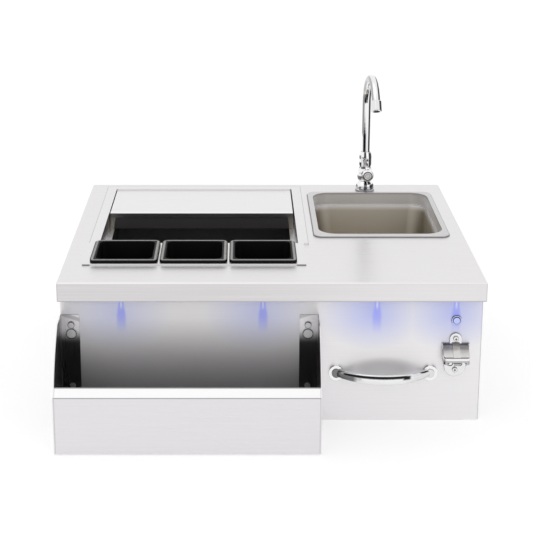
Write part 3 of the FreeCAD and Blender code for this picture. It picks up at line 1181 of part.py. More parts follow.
def make_towel_bar():
    """Bowed bar of oval section, taller in the middle than at its ends."""
    half_span, bow = s.bar_span.number / 2, s.bar_bow.number
    radius = (half_span ** 2 + bow ** 2) / (2 * bow)
    half_angle = math.degrees(math.asin(half_span / radius))
    depth = s.bar_half_depth.number
    sections = []
    for step in (-1, -0.5, 0, 0.5, 1):
        height = (s.bar_half_height - (s.bar_half_height - s.bar_end_half_height) * step ** 2).number
        oval = Part.Ellipse(Vector(0, 0, 0), max(height, depth), min(height, depth)).toShape()
        oval.rotate(Vector(0, 0, 0), Vector(0, 1, 0), -90)
        oval.translate(Vector(0, -radius, 0))
        oval.rotate(Vector(0, 0, 0), Vector(0, 0, 1), step * half_angle)
        oval.translate(Vector(0, radius - bow, 0))
        sections.append(Part.Wire([oval]))
    bar = Part.makeLoft(sections, True)
    plate, root = s.rose_height.number, s.bar_root.number
    reach, height = (bow + depth) * 2, s.bar_half_height.number * 2
    room = Part.makeBox(half_span * 4, reach, height * 2, Vector(-half_span * 2, -reach - plate, -height))
    solid = bar.common(room)
    for side in (-1, 1):
        centre = Vector(side * half_span, 0, 0)
        foot = Part.makeCylinder(s.bar_foot.number, plate + root, centre - Vector(0, plate + root, 0),
                                 Vector(0, 1, 0))
        stud = Part.makeCylinder(s.bar_stud.number, s.stud_tail.number + root, centre - Vector(0, root, 0),
                                 Vector(0, 1, 0))
        solid = solid.fuse(foot).fuse(stud)
    piece = document.addObject("Part::Feature", "towel_bar")
    piece.Label = "towel_bar"
    piece.Shape = solid.removeSplitter()
    piece.Placement = FreeCAD.Placement(Vector(BAR_X.number, PANEL_FACE.number, (TOP - s.bar_drop).number),
                                        FreeCAD.Rotation())
    pieces.append(piece)


def make_towel_bar_fixings():
    """Oval plates round the bar's feet, and the nuts behind the panel."""
    roses = new_body("towel_bar_roses")
    low, wide = s.rose_half_height - s.rose_half_width, s.rose_half_width
    loops = []
    for side in BOTH_SIDES:
        x = s.bar_span / 2 * side
        loops.append(Outline([(x + wide, -low), (x + wide, low, wide * 1.001, 1), (x - wide, low),
                              (x - wide, -low, wide * 1.001, 1)]))
        loops.append(Circle(x, ZERO, s.bar_foot + s.fine_gap))
    prism(roses, "plates", "y", loops, -s.rose_height, ZERO)
    place(roses, BAR_X, PANEL_FACE, TOP - s.bar_drop)

    nuts = new_body("towel_bar_nuts")
    loops = []
    for side in BOTH_SIDES:
        x = s.bar_span / 2 * side
        loops += [hexagon(s.small_nut_radius, x, ZERO), Circle(x, ZERO, s.bar_stud + s.fine_gap / 3)]
    prism(nuts, "nuts", "y", loops, ZERO, s.small_nut_height)
    place(nuts, BAR_X, PANEL_BACK, TOP - s.bar_drop)


# -------------------------------------------------------------------------------- bottle opener

def opener_plate_outline():
    """The opener's plate: round tab, straight shoulders, leaning sides and a round foot."""
    half, waist = s.opener_width / 2, s.opener_waist / 2
    hood, mouth = s.opener_hood_top, s.opener_hood_top + s.opener_hood_drop + s.opener_lip
    foot_x, foot_z = s.opener_foot * 0.92, s.opener_foot * 0.608 - s.opener_height
    return Outline([
        (-half, -hood), (-waist, -mouth), (-foot_x, foot_z, s.opener_foot, 1),
        (foot_x, foot_z), (waist, -mouth), (half, -hood), (s.opener_tab, -hood),
        (s.opener_tab, -s.opener_tab, s.opener_tab * 1.001, 1), (-s.opener_tab, -s.opener_tab),
        (-s.opener_tab, -hood)])


def make_bottle_opener():
    """Cast opener: a plate, a hollow hood with a strap and a beaded lip, and a tooth between notches."""
    body = new_body("bottle_opener")
    plate = s.opener_plate
    prism(body, "plate", "y", [opener_plate_outline()], -plate, ZERO)
    round_edges(body, "plate_round", s.opener_edge, lambda edge: stands_at(edge, -plate))
    top, reach = s.opener_hood_top, s.opener_hood_reach
    mouth = top + s.opener_hood_drop
    lip_top, lip_low = -mouth + s.opener_lip, -mouth - s.opener_lip / 2
    outside = Outline([(ZERO, -top), (-plate, -top), (-reach, lip_top), (-reach, lip_low), (ZERO, lip_low)])
    half = s.opener_width / 2 - s.opener_inset
    prism(body, "hood", "x", [outside], -half, half)
    round_edges(body, "hood_corners", s.opener_corner,
                lambda edge: is_upright(edge) and stands_at(edge, -reach))
    raised, bead = s.opener_strap_height, s.opener_bead
    strap = Outline([(-plate, -top), (-plate, -s.opener_tab * 1.6), (-plate - raised, -top + raised),
                     (-reach, lip_top + raised), (-reach, lip_top)])
    prism(body, "strap", "x", [strap], -s.opener_strap, s.opener_strap)
    straight = half - s.opener_corner
    prism(body, "bead", "x", [Circle(-reach, lip_low + bead / 2, bead)], -straight, straight)
    wall = s.opener_wall
    inside = Outline([(-plate, -top - wall * 2), (-reach + wall, lip_top - wall / 2),
                      (-reach + wall, lip_low - BEYOND), (-plate, lip_low - BEYOND)])
    prism(body, "hollow", "x", [inside], -half + wall, half - wall, cut=True)
    notch_x = s.opener_tooth / 2 + s.opener_notch
    notches = [Circle(side * notch_x, lip_low, s.opener_notch) for side in BOTH_SIDES]
    prism(body, "notches", "y", notches, -reach - bead - BEYOND, -reach + wall + BEYOND, cut=True)
    bore = s.screw_shank + s.fine_gap / 3
    holes = [Circle(ZERO, s.opener_top_drop - drop, bore) for drop in OPENER_SCREWS_DROP]
    prism(body, "screw_holes", "y", holes, -plate - BEYOND, as_size(BEYOND), cut=True)
    place(body, OPENER_X, PANEL_FACE, TOP - s.opener_top_drop)


def make_opener_screws():
    body = new_body("opener_screws")
    places = [TOP - drop for drop in OPENER_SCREWS_DROP]
    plate = s.opener_plate
    for name, radius, front, rear in (
            ("shanks", s.screw_shank, -plate, s.screw_length - plate),
            ("heads", s.screw_head, -plate - s.screw_head_height, -plate)):
        prism(body, name, "y", [Circle(ZERO, z, radius) for z in places], front, rear)
    place(body, OPENER_X, PANEL_FACE, ZERO)


# --------------------------------------------------------------------------- push button and lamps

def make_push_button():
    x, z = BUTTON_X, TOP - s.button_drop
    out = FreeCAD.Rotation(Vector(1, 0, 0), 90)
    bevel = s.button_bevel
    bezel = new_body("button_bezel")
    turned(bezel, "bezel", [Outline([
        (s.barrel_bore, -s.barrel_length), (s.barrel_radius, -s.barrel_length), (s.barrel_radius, ZERO),
        (s.bezel_radius, ZERO), (s.bezel_radius, s.bezel_height - bevel),
        (s.bezel_radius - bevel, s.bezel_height), (s.barrel_bore, s.bezel_height)])])
    place(bezel, x, PANEL_FACE, z, out)

    button = new_body("push_button")
    proud = s.bezel_height + s.button_proud
    turned(button, "button", [Outline([
        (ZERO, proud - s.button_length), (s.button_radius, proud - s.button_length),
        (s.button_radius, proud - bevel), (s.button_radius - bevel, proud), (ZERO, proud)])])
    place(button, x, PANEL_FACE, z, out)

    switch = new_body("button_switch")
    face = proud - s.button_length - s.button_travel - s.fine_gap
    core, low = s.barrel_bore - s.fine_gap / 3, -s.barrel_length - s.switch_tail
    turned(switch, "core", [Outline([(ZERO, low), (core, low), (core, face), (ZERO, face)])])
    place(switch, x, PANEL_FACE, z, out)

    nut = new_body("button_nut")
    bore = Circle(ZERO, ZERO, s.barrel_radius + s.fine_gap / 3)
    prism(nut, "nut", "z", [hexagon(s.button_nut_radius), bore], -s.sheet - s.button_nut_height, -s.sheet)
    place(nut, x, PANEL_FACE, z, out)


def make_lamps():
    """Lamps in a row on a bracket under the counter, behind its front edge."""
    row = FRONT + s.lamp_row
    bracket = new_body("lamp_bracket")
    half = s.lamp_bracket_width / 2
    left, right = LAMPS_X[0] - s.lamp_bracket_width, LAMPS_X[-1] + s.lamp_bracket_width
    prism(bracket, "strip", "z", [rectangle(left, right, -half, half)], -s.sheet, ZERO)
    place(bracket, ZERO, row, UNDERSIDE)

    housings = new_body("lamp_housings")
    prism(housings, "cups", "z", [Circle(x, ZERO, s.lamp_radius) for x in LAMPS_X], -s.lamp_height, ZERO)
    place(housings, ZERO, row, UNDERSIDE - s.sheet)

    lenses = new_body("lamp_lenses")
    prism(lenses, "lenses", "z", [Circle(x, ZERO, s.lens_radius) for x in LAMPS_X], -s.lens_height, ZERO)
    round_edges(lenses, "domes", s.lens_radius * 0.9, lambda edge: lies_level(edge, -s.lens_height))
    place(lenses, ZERO, row, UNDERSIDE - s.sheet - s.lamp_height)

    driver = new_body("lamp_driver")
    prism(driver, "case", "z", [rectangle(-s.driver_width / 2, s.driver_width / 2, ZERO, s.driver_depth)],
          -s.driver_height, ZERO)
    round_edges(driver, "case_round", s.corner_radius, is_upright)
    place(driver, RIGHT - s.driver_right, PANEL_BACK, TOP - s.driver_drop)


# -------------------------------------------------------------------------------------------- build

make_counter_top()
make_front_panel()
make_side_panel("side_panel_left", -1)
make_side_panel("side_panel_right", 1)
make_back_panel()
make_bottom_pan()
make_casing_screws()
make_divider()
make_well_frame()
make_ice_bin()
make_bin_insulation()
make_bin_bracket("bin_bracket_left", -1)
make_bin_bracket("bin_bracket_right", 1)
make_bin_drain()
make_bin_drain_fixings()
make_lid_skin()
make_lid_core()
make_tray_rack()
for tray_label, tray_x in zip(("tray_left", "tray_centre", "tray_right"), TRAYS_X):
    make_tray(tray_label, tray_x)
make_sink_basin()
make_basin_clips()
make_strainer()
make_strainer_basket()
make_tailpiece()
make_tap_body()
make_tap_fixings()
make_tap_spout()
make_tap_aerator()
make_tap_handle()
make_rail_trough()
make_rail_end("rail_end_left", -1)
make_rail_end("rail_end_right", 1)
make_rail_studs()
make_towel_bar()
make_towel_bar_fixings()
make_bottle_opener()
make_opener_screws()
make_push_button()
make_lamps()
document.recompute()

for item in document.Objects:
    if "Invalid" in item.State or "Error" in item.State:
        raise RuntimeError(f"{item.Name} failed: {item.State}")
os.makedirs("parts", exist_ok=True)
for piece in pieces:
    if piece.Shape.isNull() or not piece.Shape.isValid():
        raise RuntimeError(f"{piece.Label} has no valid shape")
    piece.Shape.exportStep(f"parts/{piece.Label}.step")
    print(f"{piece.Label}: {len(piece.Shape.Solids)} solids, {piece.Shape.Volume:.0f} mm3")
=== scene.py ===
import math

import bmesh
import bpy
from mathutils import Matrix, Vector


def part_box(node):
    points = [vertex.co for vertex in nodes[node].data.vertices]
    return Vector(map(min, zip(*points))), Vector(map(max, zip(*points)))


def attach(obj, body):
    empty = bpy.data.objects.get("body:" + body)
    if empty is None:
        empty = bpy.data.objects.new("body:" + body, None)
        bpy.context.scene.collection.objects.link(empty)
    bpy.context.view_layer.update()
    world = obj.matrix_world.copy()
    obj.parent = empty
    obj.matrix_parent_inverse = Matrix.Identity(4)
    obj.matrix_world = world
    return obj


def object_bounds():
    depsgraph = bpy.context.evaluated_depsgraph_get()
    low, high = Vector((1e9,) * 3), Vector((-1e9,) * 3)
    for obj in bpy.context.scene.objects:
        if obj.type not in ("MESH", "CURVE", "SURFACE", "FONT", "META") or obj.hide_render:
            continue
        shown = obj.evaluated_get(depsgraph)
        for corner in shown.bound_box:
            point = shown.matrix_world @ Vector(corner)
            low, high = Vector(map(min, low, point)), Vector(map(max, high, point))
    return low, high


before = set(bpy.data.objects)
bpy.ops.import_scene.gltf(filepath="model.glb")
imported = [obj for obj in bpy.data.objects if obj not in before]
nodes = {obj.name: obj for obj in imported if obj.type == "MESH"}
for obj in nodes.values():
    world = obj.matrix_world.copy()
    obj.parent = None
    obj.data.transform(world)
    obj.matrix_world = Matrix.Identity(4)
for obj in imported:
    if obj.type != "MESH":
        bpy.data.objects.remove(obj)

cad_low, cad_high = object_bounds()
MM = 0.001

# ---------------------------------------------------------------------------------- counter and casing
# The counter and the casing below it are folded from 1.2 mm stainless sheet with a fine brushed grain.
# The counter's edges are turned down and welded at the corners, and the casing is screwed to the pan.

COUNTER_COLOUR = (0.800, 0.786, 0.793)
CASING_COLOUR = (0.770, 0.757, 0.765)
# Painted shade on the turned-down front, darker on the left than on the right.
APRON_SHADE_LEFT = (0.670, 0.650, 0.663)
APRON_SHADE_RIGHT = (0.752, 0.738, 0.745)
EDGE_SHADE_LINE = (0.36, 0.35, 0.36)
COUNTER_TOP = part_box("counter_top")[1].z
COUNTER_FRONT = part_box("counter_top")[0].y
APRON_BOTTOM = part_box("counter_top")[0].z
COUNTER_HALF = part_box("counter_top")[1].x


def new_material(name):
    material = bpy.data.materials.new(name)
    material.use_nodes = True
    shader = material.node_tree.nodes["Principled BSDF"]
    return material, material.node_tree.nodes, material.node_tree.links, shader


def finish_nodes(names, material):
    """Gives each named piece of the frame this material alone."""
    for name in names:
        mesh = nodes[name].data
        mesh.materials.clear()
        mesh.materials.append(material)


def stretched_noise(tree, links, scale, detail=3.0):
    """Noise on Object coordinates, with a scale of its own along each axis."""
    place = tree.new("ShaderNodeTexCoord")
    mapping = tree.new("ShaderNodeMapping")
    mapping.inputs["Scale"].default_value = scale
    links.new(place.outputs["Object"], mapping.inputs["Vector"])
    noise = tree.new("ShaderNodeTexNoise")
    noise.inputs["Scale"].default_value = 1.0
    noise.inputs["Detail"].default_value = detail
    links.new(mapping.outputs["Vector"], noise.inputs["Vector"])
    return noise.outputs["Fac"]


def ranged(tree, links, value, low, high, to_low, to_high, steps="LINEAR"):
    """value, taken from one range to another."""
    node = tree.new("ShaderNodeMapRange")
    node.interpolation_type = steps
    for name, number in (("From Min", low), ("From Max", high), ("To Min", to_low), ("To Max", to_high)):
        node.inputs[name].default_value = number
    links.new(value, node.inputs["Value"])
    return node.outputs["Result"]


def arithmetic(tree, links, operation, first, second=0.0):
    node = tree.new("ShaderNodeMath")
    node.operation = operation
    for socket, value in zip(node.inputs, (first, second)):
        if isinstance(value, (int, float)):
            socket.default_value = value
        else:
            links.new(value, socket)
    return node.outputs["Value"]


def product(tree, links, *values):
    total = values[0]
    for value in values[1:]:
        total = arithmetic(tree, links, "MULTIPLY", total, value)
    return total


def strongest(tree, links, *values):
    total = values[0]
    for value in values[1:]:
        total = arithmetic(tree, links, "MAXIMUM", total, value)
    return total


def away_from(tree, links, value, place):
    """How far a coordinate is from a place, whichever side."""
    return arithmetic(tree, links, "ABSOLUTE", arithmetic(tree, links, "SUBTRACT", value, place))


def mixed(tree, links, factor, first, second):
    """A colour between two others, each a tuple or a socket."""
    node = tree.new("ShaderNodeMix")
    node.data_type = "RGBA"
    links.new(factor, node.inputs[0])
    for socket, value in ((node.inputs[6], first), (node.inputs[7], second)):
        if isinstance(value, tuple):
            socket.default_value = (*value, 1.0)
        else:
            links.new(value, socket)
    return node.outputs[2]


def parts_of(tree, links, output="Object"):
    """The x, y and z of the Object coordinates, or of the Normal."""
    place = tree.new("ShaderNodeTexCoord")
    split = tree.new("ShaderNodeSeparateXYZ")
    links.new(place.outputs[output], split.inputs["Vector"])
    return split.outputs["X"], split.outputs["Y"], split.outputs["Z"]


def brushed_steel(name, colour, roughness=0.30, grain="x", tint=None, anisotropy=0.5):
    """Brushed sheet with long fine streaks along one axis. tint may change the colour by place."""
    material, tree, links, shader = new_material(name)
    along = {"x": (1.0, 0.0, 0.0), "y": (0.0, 1.0, 0.0), "z": (0.0, 0.0, 1.0)}[grain]
    streaks = stretched_noise(tree, links, tuple(7.0 if share else 800.0 for share in along))
    clouds = stretched_noise(tree, links, tuple(1.5 if share else 6.0 for share in along), detail=2.0)
    darker = tuple(channel * 0.975 for channel in colour)
    lighter = tuple(min(channel * 1.025, 0.95) for channel in colour)
    tone = mixed(tree, links, ranged(tree, links, streaks, 0.25, 0.75, 0.0, 1.0), darker, lighter)
    tone = mixed(tree, links, ranged(tree, links, clouds, 0.35, 0.75, 0.0, 0.25), tone, lighter)
    if tint is not None:
        tone = tint(tree, links, tone)
    links.new(tone, shader.inputs["Base Color"])
    links.new(ranged(tree, links, streaks, 0.3, 0.7, roughness - 0.03, roughness + 0.04),
              shader.inputs["Roughness"])
    shader.inputs["Metallic"].default_value = 1.0
    shader.inputs["Anisotropic"].default_value = anisotropy
    across_grain = tree.new("ShaderNodeVectorMath")
    across_grain.operation = "CROSS_PRODUCT"
    place = tree.new("ShaderNodeTexCoord")
    links.new(place.outputs["Normal"], across_grain.inputs[0])
    across_grain.inputs[1].default_value = along
    steady = tree.new("ShaderNodeVectorMath")
    links.new(across_grain.outputs["Vector"], steady.inputs[0])
    steady.inputs[1].default_value = (0.010, 0.013, 0.017)
    links.new(steady.outputs["Vector"], shader.inputs["Tangent"])
    bump = tree.new("ShaderNodeBump")
    bump.inputs["Strength"].default_value = 0.025
    bump.inputs["Distance"].default_value = 0.0001
    links.new(streaks, bump.inputs["Height"])
    links.new(bump.outputs["Normal"], shader.inputs["Normal"])
    return material


def counter_tone(tree, links, tone):
    """Painted shade: the turned-down front is darker than the top, most on the left, with thin dark lines
    painted as shade at the bend and the bottom edge, and a fainter one at the ends.
    """
    x, y, z = parts_of(tree, links)
    below = ranged(tree, links, z, COUNTER_TOP - 4 * MM, COUNTER_TOP - 2 * MM, 1.0, 0.0)
    front = ranged(tree, links, y, COUNTER_FRONT + 1 * MM, COUNTER_FRONT + 3 * MM, 1.0, 0.0)
    right = ranged(tree, links, x, -0.10, 0.30, 0.0, 1.0, "SMOOTHSTEP")
    apron = mixed(tree, links, right, APRON_SHADE_LEFT, APRON_SHADE_RIGHT)
    streaks = stretched_noise(tree, links, (3.0, 1.0, 330.0))
    apron = mixed(tree, links, ranged(tree, links, streaks, 0.45, 0.75, 0.0, 0.35), apron, COUNTER_COLOUR)
    # Dark lines painted as shade at the bend and along the bottom edge, and a fainter dark line at the ends.
    bend = ranged(tree, links, away_from(tree, links, z, COUNTER_TOP - 3.2 * MM), 0.0, 1.3 * MM, 0.30, 0.0)
    edge = ranged(tree, links, z, APRON_BOTTOM + 0.8 * MM, APRON_BOTTOM + 2.2 * MM, 0.75, 0.0)
    ends = ranged(tree, links, away_from(tree, links, x, 0.0), COUNTER_HALF - 2.6 * MM,
                  COUNTER_HALF - 1.4 * MM, 0.0, 0.5)
    apron = mixed(tree, links, strongest(tree, links, bend, edge, ends), apron, EDGE_SHADE_LINE)
    return mixed(tree, links, product(tree, links, below, front), tone, apron)


finish_nodes(["counter_top"],
             brushed_steel("counter brushed steel", COUNTER_COLOUR, 0.30, "x", counter_tone))
casing_steel = brushed_steel("casing brushed steel", CASING_COLOUR, 0.32)
finish_nodes(["back_panel", "bottom_pan", "lamp_bracket"], casing_steel)
side_steel = brushed_steel("side brushed steel", CASING_COLOUR, 0.32, "y")
finish_nodes(["side_panel_left", "side_panel_right", "divider", "bin_bracket_left", "bin_bracket_right"],
             side_steel)

# ------------------------------------------------------------------------------------- lamps and panel
# Four small blue lamps on a strip behind the counter's front edge wash the panel below them. The panel is
# the same sheet as the casing; the light of each lamp is painted on it as a pointed streak and a wide soft
# glow.

# Places, strengths, colours and reaches of the painted lamp light, and of the painted shade behind the rail
# and above the towel bar.
STREAK_PLACES = (-0.2695, -0.0152, 0.1895, 0.3315)
GLOW_STRENGTHS = (0.60, 0.72, 1.00, 0.95)
PANEL_COLOUR = (0.860, 0.847, 0.855)
GLOW_COLOUR = (0.480, 0.525, 0.900)
STREAK_COLOUR = (0.385, 0.425, 0.980)
CORE_COLOUR = (0.78, 0.80, 1.00)
GLOW_ASIDE = 8 * MM
GLOW_REACH = 100 * MM
GLOW_FOOT, GLOW_HEAD = 0.135, 0.206
STREAK_FOOT, STREAK_HEAD = 0.164, 0.209
STREAK_WIDE, STREAK_NARROW = 7.6 * MM, 4.4 * MM
STREAK_WIDE_Z, STREAK_NARROW_Z = 0.200, 0.229
CORE_FOOT, CORE_HEAD = 0.211, 0.224
RAIL_SHADE = (0.040, 0.038, 0.040)
RAIL_SHADE_FOOT, RAIL_SHADE_HEAD = 0.069, 0.198
RAIL_SHADE_SIDE = 0.080
BAR_SHADE = (0.20, 0.195, 0.20)
BAR_SHADE_X, BAR_SHADE_Z = 0.2029, 0.0990
BAR_SHADE_HALF, BAR_SHADE_RISE = 74 * MM, 27 * MM
PANEL_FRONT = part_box("front_panel")[0].y
PANEL_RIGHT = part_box("front_panel")[1].x


def round_reach(tree, links, along, up):
    """The square of how far a point lies from the middle of an oval: 1 on its edge."""
    return arithmetic(tree, links, "ADD", arithmetic(tree, links, "POWER", along, 2.0),
                      arithmetic(tree, links, "POWER", up, 2.0))


def painted_lamp_light_and_shade(tree, links, tone):
    """Painted light and shade: the blue light of the lamps painted as a wide soft glow below each, a pointed
    streak and its core. Painted shade makes the panel dimmer low behind the rail, along its right edge and
    close above the towel bar."""
    x, y, z = parts_of(tree, links)
    front = ranged(tree, links, y, PANEL_FRONT + 0.4 * MM, PANEL_FRONT + 0.8 * MM, 1.0, 0.0)
    half_width = ranged(tree, links, z, STREAK_WIDE_Z, STREAK_NARROW_Z, STREAK_WIDE, STREAK_NARROW,
                        "SMOOTHSTEP")
    down = ranged(tree, links, z, GLOW_FOOT, GLOW_HEAD, 1.0, 0.0)
    glows, streaks, cores = [], [], []
    for place, strength in zip(STREAK_PLACES, GLOW_STRENGTHS):
        aside = away_from(tree, links, x, place - GLOW_ASIDE)
        reach = round_reach(tree, links, ranged(tree, links, aside, 0.0, GLOW_REACH, 0.0, 1.0), down)
        glows.append(ranged(tree, links, arithmetic(tree, links, "SQRT", reach), 0.0, 1.0, strength, 0.0))
        aside = away_from(tree, links, x, place)
        ratio = arithmetic(tree, links, "DIVIDE", aside, half_width)
        streaks.append(ranged(tree, links, ratio, 0.55, 1.45, 1.0, 0.0, "SMOOTHSTEP"))
        cores.append(ranged(tree, links, ratio, 0.20, 0.62, 1.0, 0.0, "SMOOTHSTEP"))
    fade = ranged(tree, links, z, STREAK_FOOT, STREAK_HEAD, 0.0, 0.85, "SMOOTHSTEP")
    glow = product(tree, links, strongest(tree, links, *glows), front, 0.85)
    streak = product(tree, links, strongest(tree, links, *streaks), fade, front)
    core = product(tree, links, strongest(tree, links, *cores), front,
                   ranged(tree, links, z, CORE_FOOT, CORE_HEAD, 0.0, 0.75, "SMOOTHSTEP"))
    # Painted shade on the panel low behind the rail.
    beside_rail = ranged(tree, links, x, RAIL_SHADE_SIDE, RAIL_SHADE_SIDE + 10 * MM, 1.0, 0.0)
    behind_rail = product(tree, links, beside_rail, front,
                          ranged(tree, links, z, RAIL_SHADE_FOOT, RAIL_SHADE_HEAD, 0.66, 0.0))
    tone = mixed(tree, links, behind_rail, tone, RAIL_SHADE)
    # Painted shade along the panel's right edge.
    right_edge = ranged(tree, links, x, PANEL_RIGHT - 2.4 * MM, PANEL_RIGHT - 1.2 * MM, 0.0, 0.6)
    tone = mixed(tree, links, product(tree, links, right_edge, front), tone, (0.30, 0.29, 0.30))
    # Painted shadow of the towel bar on the panel above it.
    along = ranged(tree, links, away_from(tree, links, x, BAR_SHADE_X), 0.0, BAR_SHADE_HALF, 0.0, 1.0)
    above = ranged(tree, links, away_from(tree, links, z, BAR_SHADE_Z), 0.0, BAR_SHADE_RISE, 0.0, 1.0)
    reach = round_reach(tree, links, along, above)
    dimmed = product(tree, links, ranged(tree, links, reach, 0.1, 1.0, 0.42, 0.0, "SMOOTHSTEP"), front)
    tone = mixed(tree, links, dimmed, tone, BAR_SHADE)
    # The lamps' painted blue glow, streak and core.
    tone = mixed(tree, links, glow, tone, GLOW_COLOUR)
    tone = mixed(tree, links, streak, tone, STREAK_COLOUR)
    return mixed(tree, links, core, tone, CORE_COLOUR)


finish_nodes(["front_panel"],
             brushed_steel("panel brushed steel", PANEL_COLOUR, 0.44, "x", painted_lamp_light_and_shade, anisotropy=0.75))

lens, tree, links, shader = new_material("lamp lens")
cloud = stretched_noise(tree, links, (260.0, 260.0, 260.0))
links.new(mixed(tree, links, cloud, (0.40, 0.45, 0.95), (0.55, 0.60, 0.98)), shader.inputs["Base Color"])
shader.inputs["Roughness"].default_value = 0.15
shader.inputs["Emission Color"].default_value = (0.35, 0.42, 1.0, 1.0)
shader.inputs["Emission Strength"].default_value = 1.6
finish_nodes(["lamp_lenses"], lens)


def moulded_plastic(name, colour, roughness, grain=900.0, depth=0.00006, specular=0.5, tint=None):
    """Moulded plastic with a fine spark-eroded grain and a faint change of gloss."""
    material, tree, links, shader = new_material(name)
    fine = stretched_noise(tree, links, (grain, grain, grain), detail=2.0)
    clouds = stretched_noise(tree, links, (14.0, 14.0, 14.0))
    lighter = tuple(channel * 1.25 + 0.001 for channel in colour)
    tone = mixed(tree, links, clouds, colour, lighter)
    if tint is not None:
        tone = tint(tree, links, tone)
    links.new(tone, shader.inputs["Base Color"])
    links.new(ranged(tree, links, clouds, 0.3, 0.7, roughness - 0.04, roughness + 0.06),
              shader.inputs["Roughness"])
    shader.inputs["Specular IOR Level"].default_value = specular
    bump = tree.new("ShaderNodeBump")
    bump.inputs["Strength"].default_value = 0.3
    bump.inputs["Distance"].default_value = depth
    links.new(fine, bump.inputs["Height"])
    links.new(bump.outputs["Normal"], shader.inputs["Normal"])
    return material


dark_plastic = moulded_plastic("black housing plastic", (0.030, 0.030, 0.033), 0.42)
finish_nodes(["lamp_housings", "lamp_driver", "button_switch"], dark_plastic)

# ----------------------------------------------------------------------------------- ice well and bin
# The well has a folded stainless frame with a raised band, and a black moulded bin below it in a block
# of foam. The frame's walls carry two ledges for the lid.

WELL_COLOUR = (0.806, 0.796, 0.800)


def past_edge(tree, links, low, high):
    """How far a point is outside a box seen from above, and less than 0 inside it."""
    x, y, _ = parts_of(tree, links)
    middle, half = (low + high) / 2, (high - low) / 2
    from_sides = arithmetic(tree, links, "SUBTRACT", away_from(tree, links, x, middle.x), half.x)
    from_ends = arithmetic(tree, links, "SUBTRACT", away_from(tree, links, y, middle.y), half.y)
    return strongest(tree, links, from_sides, from_ends)


def well_tone(tree, links, tone):
    """Painted shade: a thin grey line along the band's outer edge, where it stands up from the counter."""
    from_edge = past_edge(tree, links, *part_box("well_frame"))
    outline = ranged(tree, links, from_edge, -1.6 * MM, -0.8 * MM, 0.0, 0.45)
    return mixed(tree, links, outline, tone, (0.16, 0.16, 0.16))


finish_nodes(["well_frame"], brushed_steel("well brushed steel", WELL_COLOUR, 0.30, "x", well_tone))
finish_nodes(["ice_bin"], moulded_plastic("bin plastic", (0.170, 0.166, 0.168), 0.50, 700.0, 0.0001, 0.45))
finish_nodes(["bin_insulation"],
             moulded_plastic("insulation foam", (0.80, 0.77, 0.66), 0.8, 300.0, 0.0004, 0.2))

# ------------------------------------------------------------------------------------------------ lid
# The lid is a folded stainless cover with a painted highlight on its front bend and painted shade on the
# face of its lip. Two tabs stand beside its open front, painted dark as the reflection of the dark well, and
# a slab of black closed-cell board fills it.

LID_COLOUR = (0.838, 0.830, 0.830)
LID_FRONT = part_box("lid_skin")[0].y
TAB_REFLECTION = (0.235, 0.218, 0.190)
BEND_HIGHLIGHT = (0.93, 0.925, 0.92)
LIP_SHADE = (0.05, 0.05, 0.05)


def lid_tone(tree, links, tone):
    """Painted light and shade: the tabs below the lip are painted dark as the reflection of the dark well,
    the front bend carries a painted highlight, and the lip's face painted shade.
    """
    _, y, z = parts_of(tree, links)
    front = ranged(tree, links, y, LID_FRONT + 0.6 * MM, LID_FRONT + 1.4 * MM, 1.0, 0.0)
    low = ranged(tree, links, z, COUNTER_TOP - 10 * MM, COUNTER_TOP - 8 * MM, 1.0, 0.0)
    tab = product(tree, links, front, low)
    # Painted highlight on the front bend, and painted shade on the lip's face.
    bright = ranged(tree, links, y, LID_FRONT + 12 * MM, LID_FRONT + 16 * MM, 1.0, 0.0)
    tone = mixed(tree, links, product(tree, links, bright, 0.7), tone, BEND_HIGHLIGHT)
    under_bend = ranged(tree, links, z, COUNTER_TOP + 1 * MM, COUNTER_TOP + 2 * MM, 0.85, 0.0)
    lip_face = product(tree, links, front, under_bend)
    tone = mixed(tree, links, lip_face, tone, LIP_SHADE)
    return mixed(tree, links, tab, tone, TAB_REFLECTION)


finish_nodes(["lid_skin"], brushed_steel("lid brushed steel", LID_COLOUR, 0.30, "x", lid_tone))
finish_nodes(["lid_core"],
             moulded_plastic("lid core board", (0.042, 0.039, 0.040), 0.55, 600.0, 0.0002, 0.3))

# ---------------------------------------------------------------------------------------------- trays
# Three moulded black trays hang by their rolled rims in a stainless rack over the front of the well.
# A grey highlight is painted on top of the rims; the insides are matt.

def tray_plastic(node):
    """Black inside and outside, with a painted grey highlight band on top of the rim, a little in from its
    edge.
    """
    low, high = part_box(node)

    def rim_highlight_tone(tree, links, tone):
        _, _, up = parts_of(tree, links, "Normal")
        _, _, z = parts_of(tree, links)
        from_edge = past_edge(tree, links, low, high)
        band = product(tree, links, ranged(tree, links, from_edge, -7.5 * MM, -5.5 * MM, 0.0, 1.0),
                       ranged(tree, links, from_edge, -3.6 * MM, -1.8 * MM, 1.0, 0.25))
        top = product(tree, links, ranged(tree, links, z, high.z - 6 * MM, high.z - 4 * MM, 0.0, 1.0),
                      ranged(tree, links, up, 0.45, 0.85, 0.0, 1.0))
        # The painted highlight, its brightness varying at random along the rim.
        rim_highlight_noise = stretched_noise(tree, links, (260.0, 90.0, 260.0))
        rim_highlight = mixed(tree, links, rim_highlight_noise, (0.270, 0.264, 0.260), (0.570, 0.561, 0.553))
        return mixed(tree, links, product(tree, links, band, top), tone, rim_highlight)

    return moulded_plastic(node + " plastic", (0.0012, 0.0012, 0.0012), 0.55, 800.0, 0.00008, 0.12, rim_highlight_tone)


for tray in ("tray_left", "tray_centre", "tray_right"):
    finish_nodes([tray], tray_plastic(tray))
RACK_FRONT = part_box("tray_rack")[0].y
TRAY_ROW_MIDDLE = (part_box("tray_left")[0].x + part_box("tray_right")[1].x) / 2
TRAY_ROW_HALF = (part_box("tray_right")[1].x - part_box("tray_left")[0].x) / 2


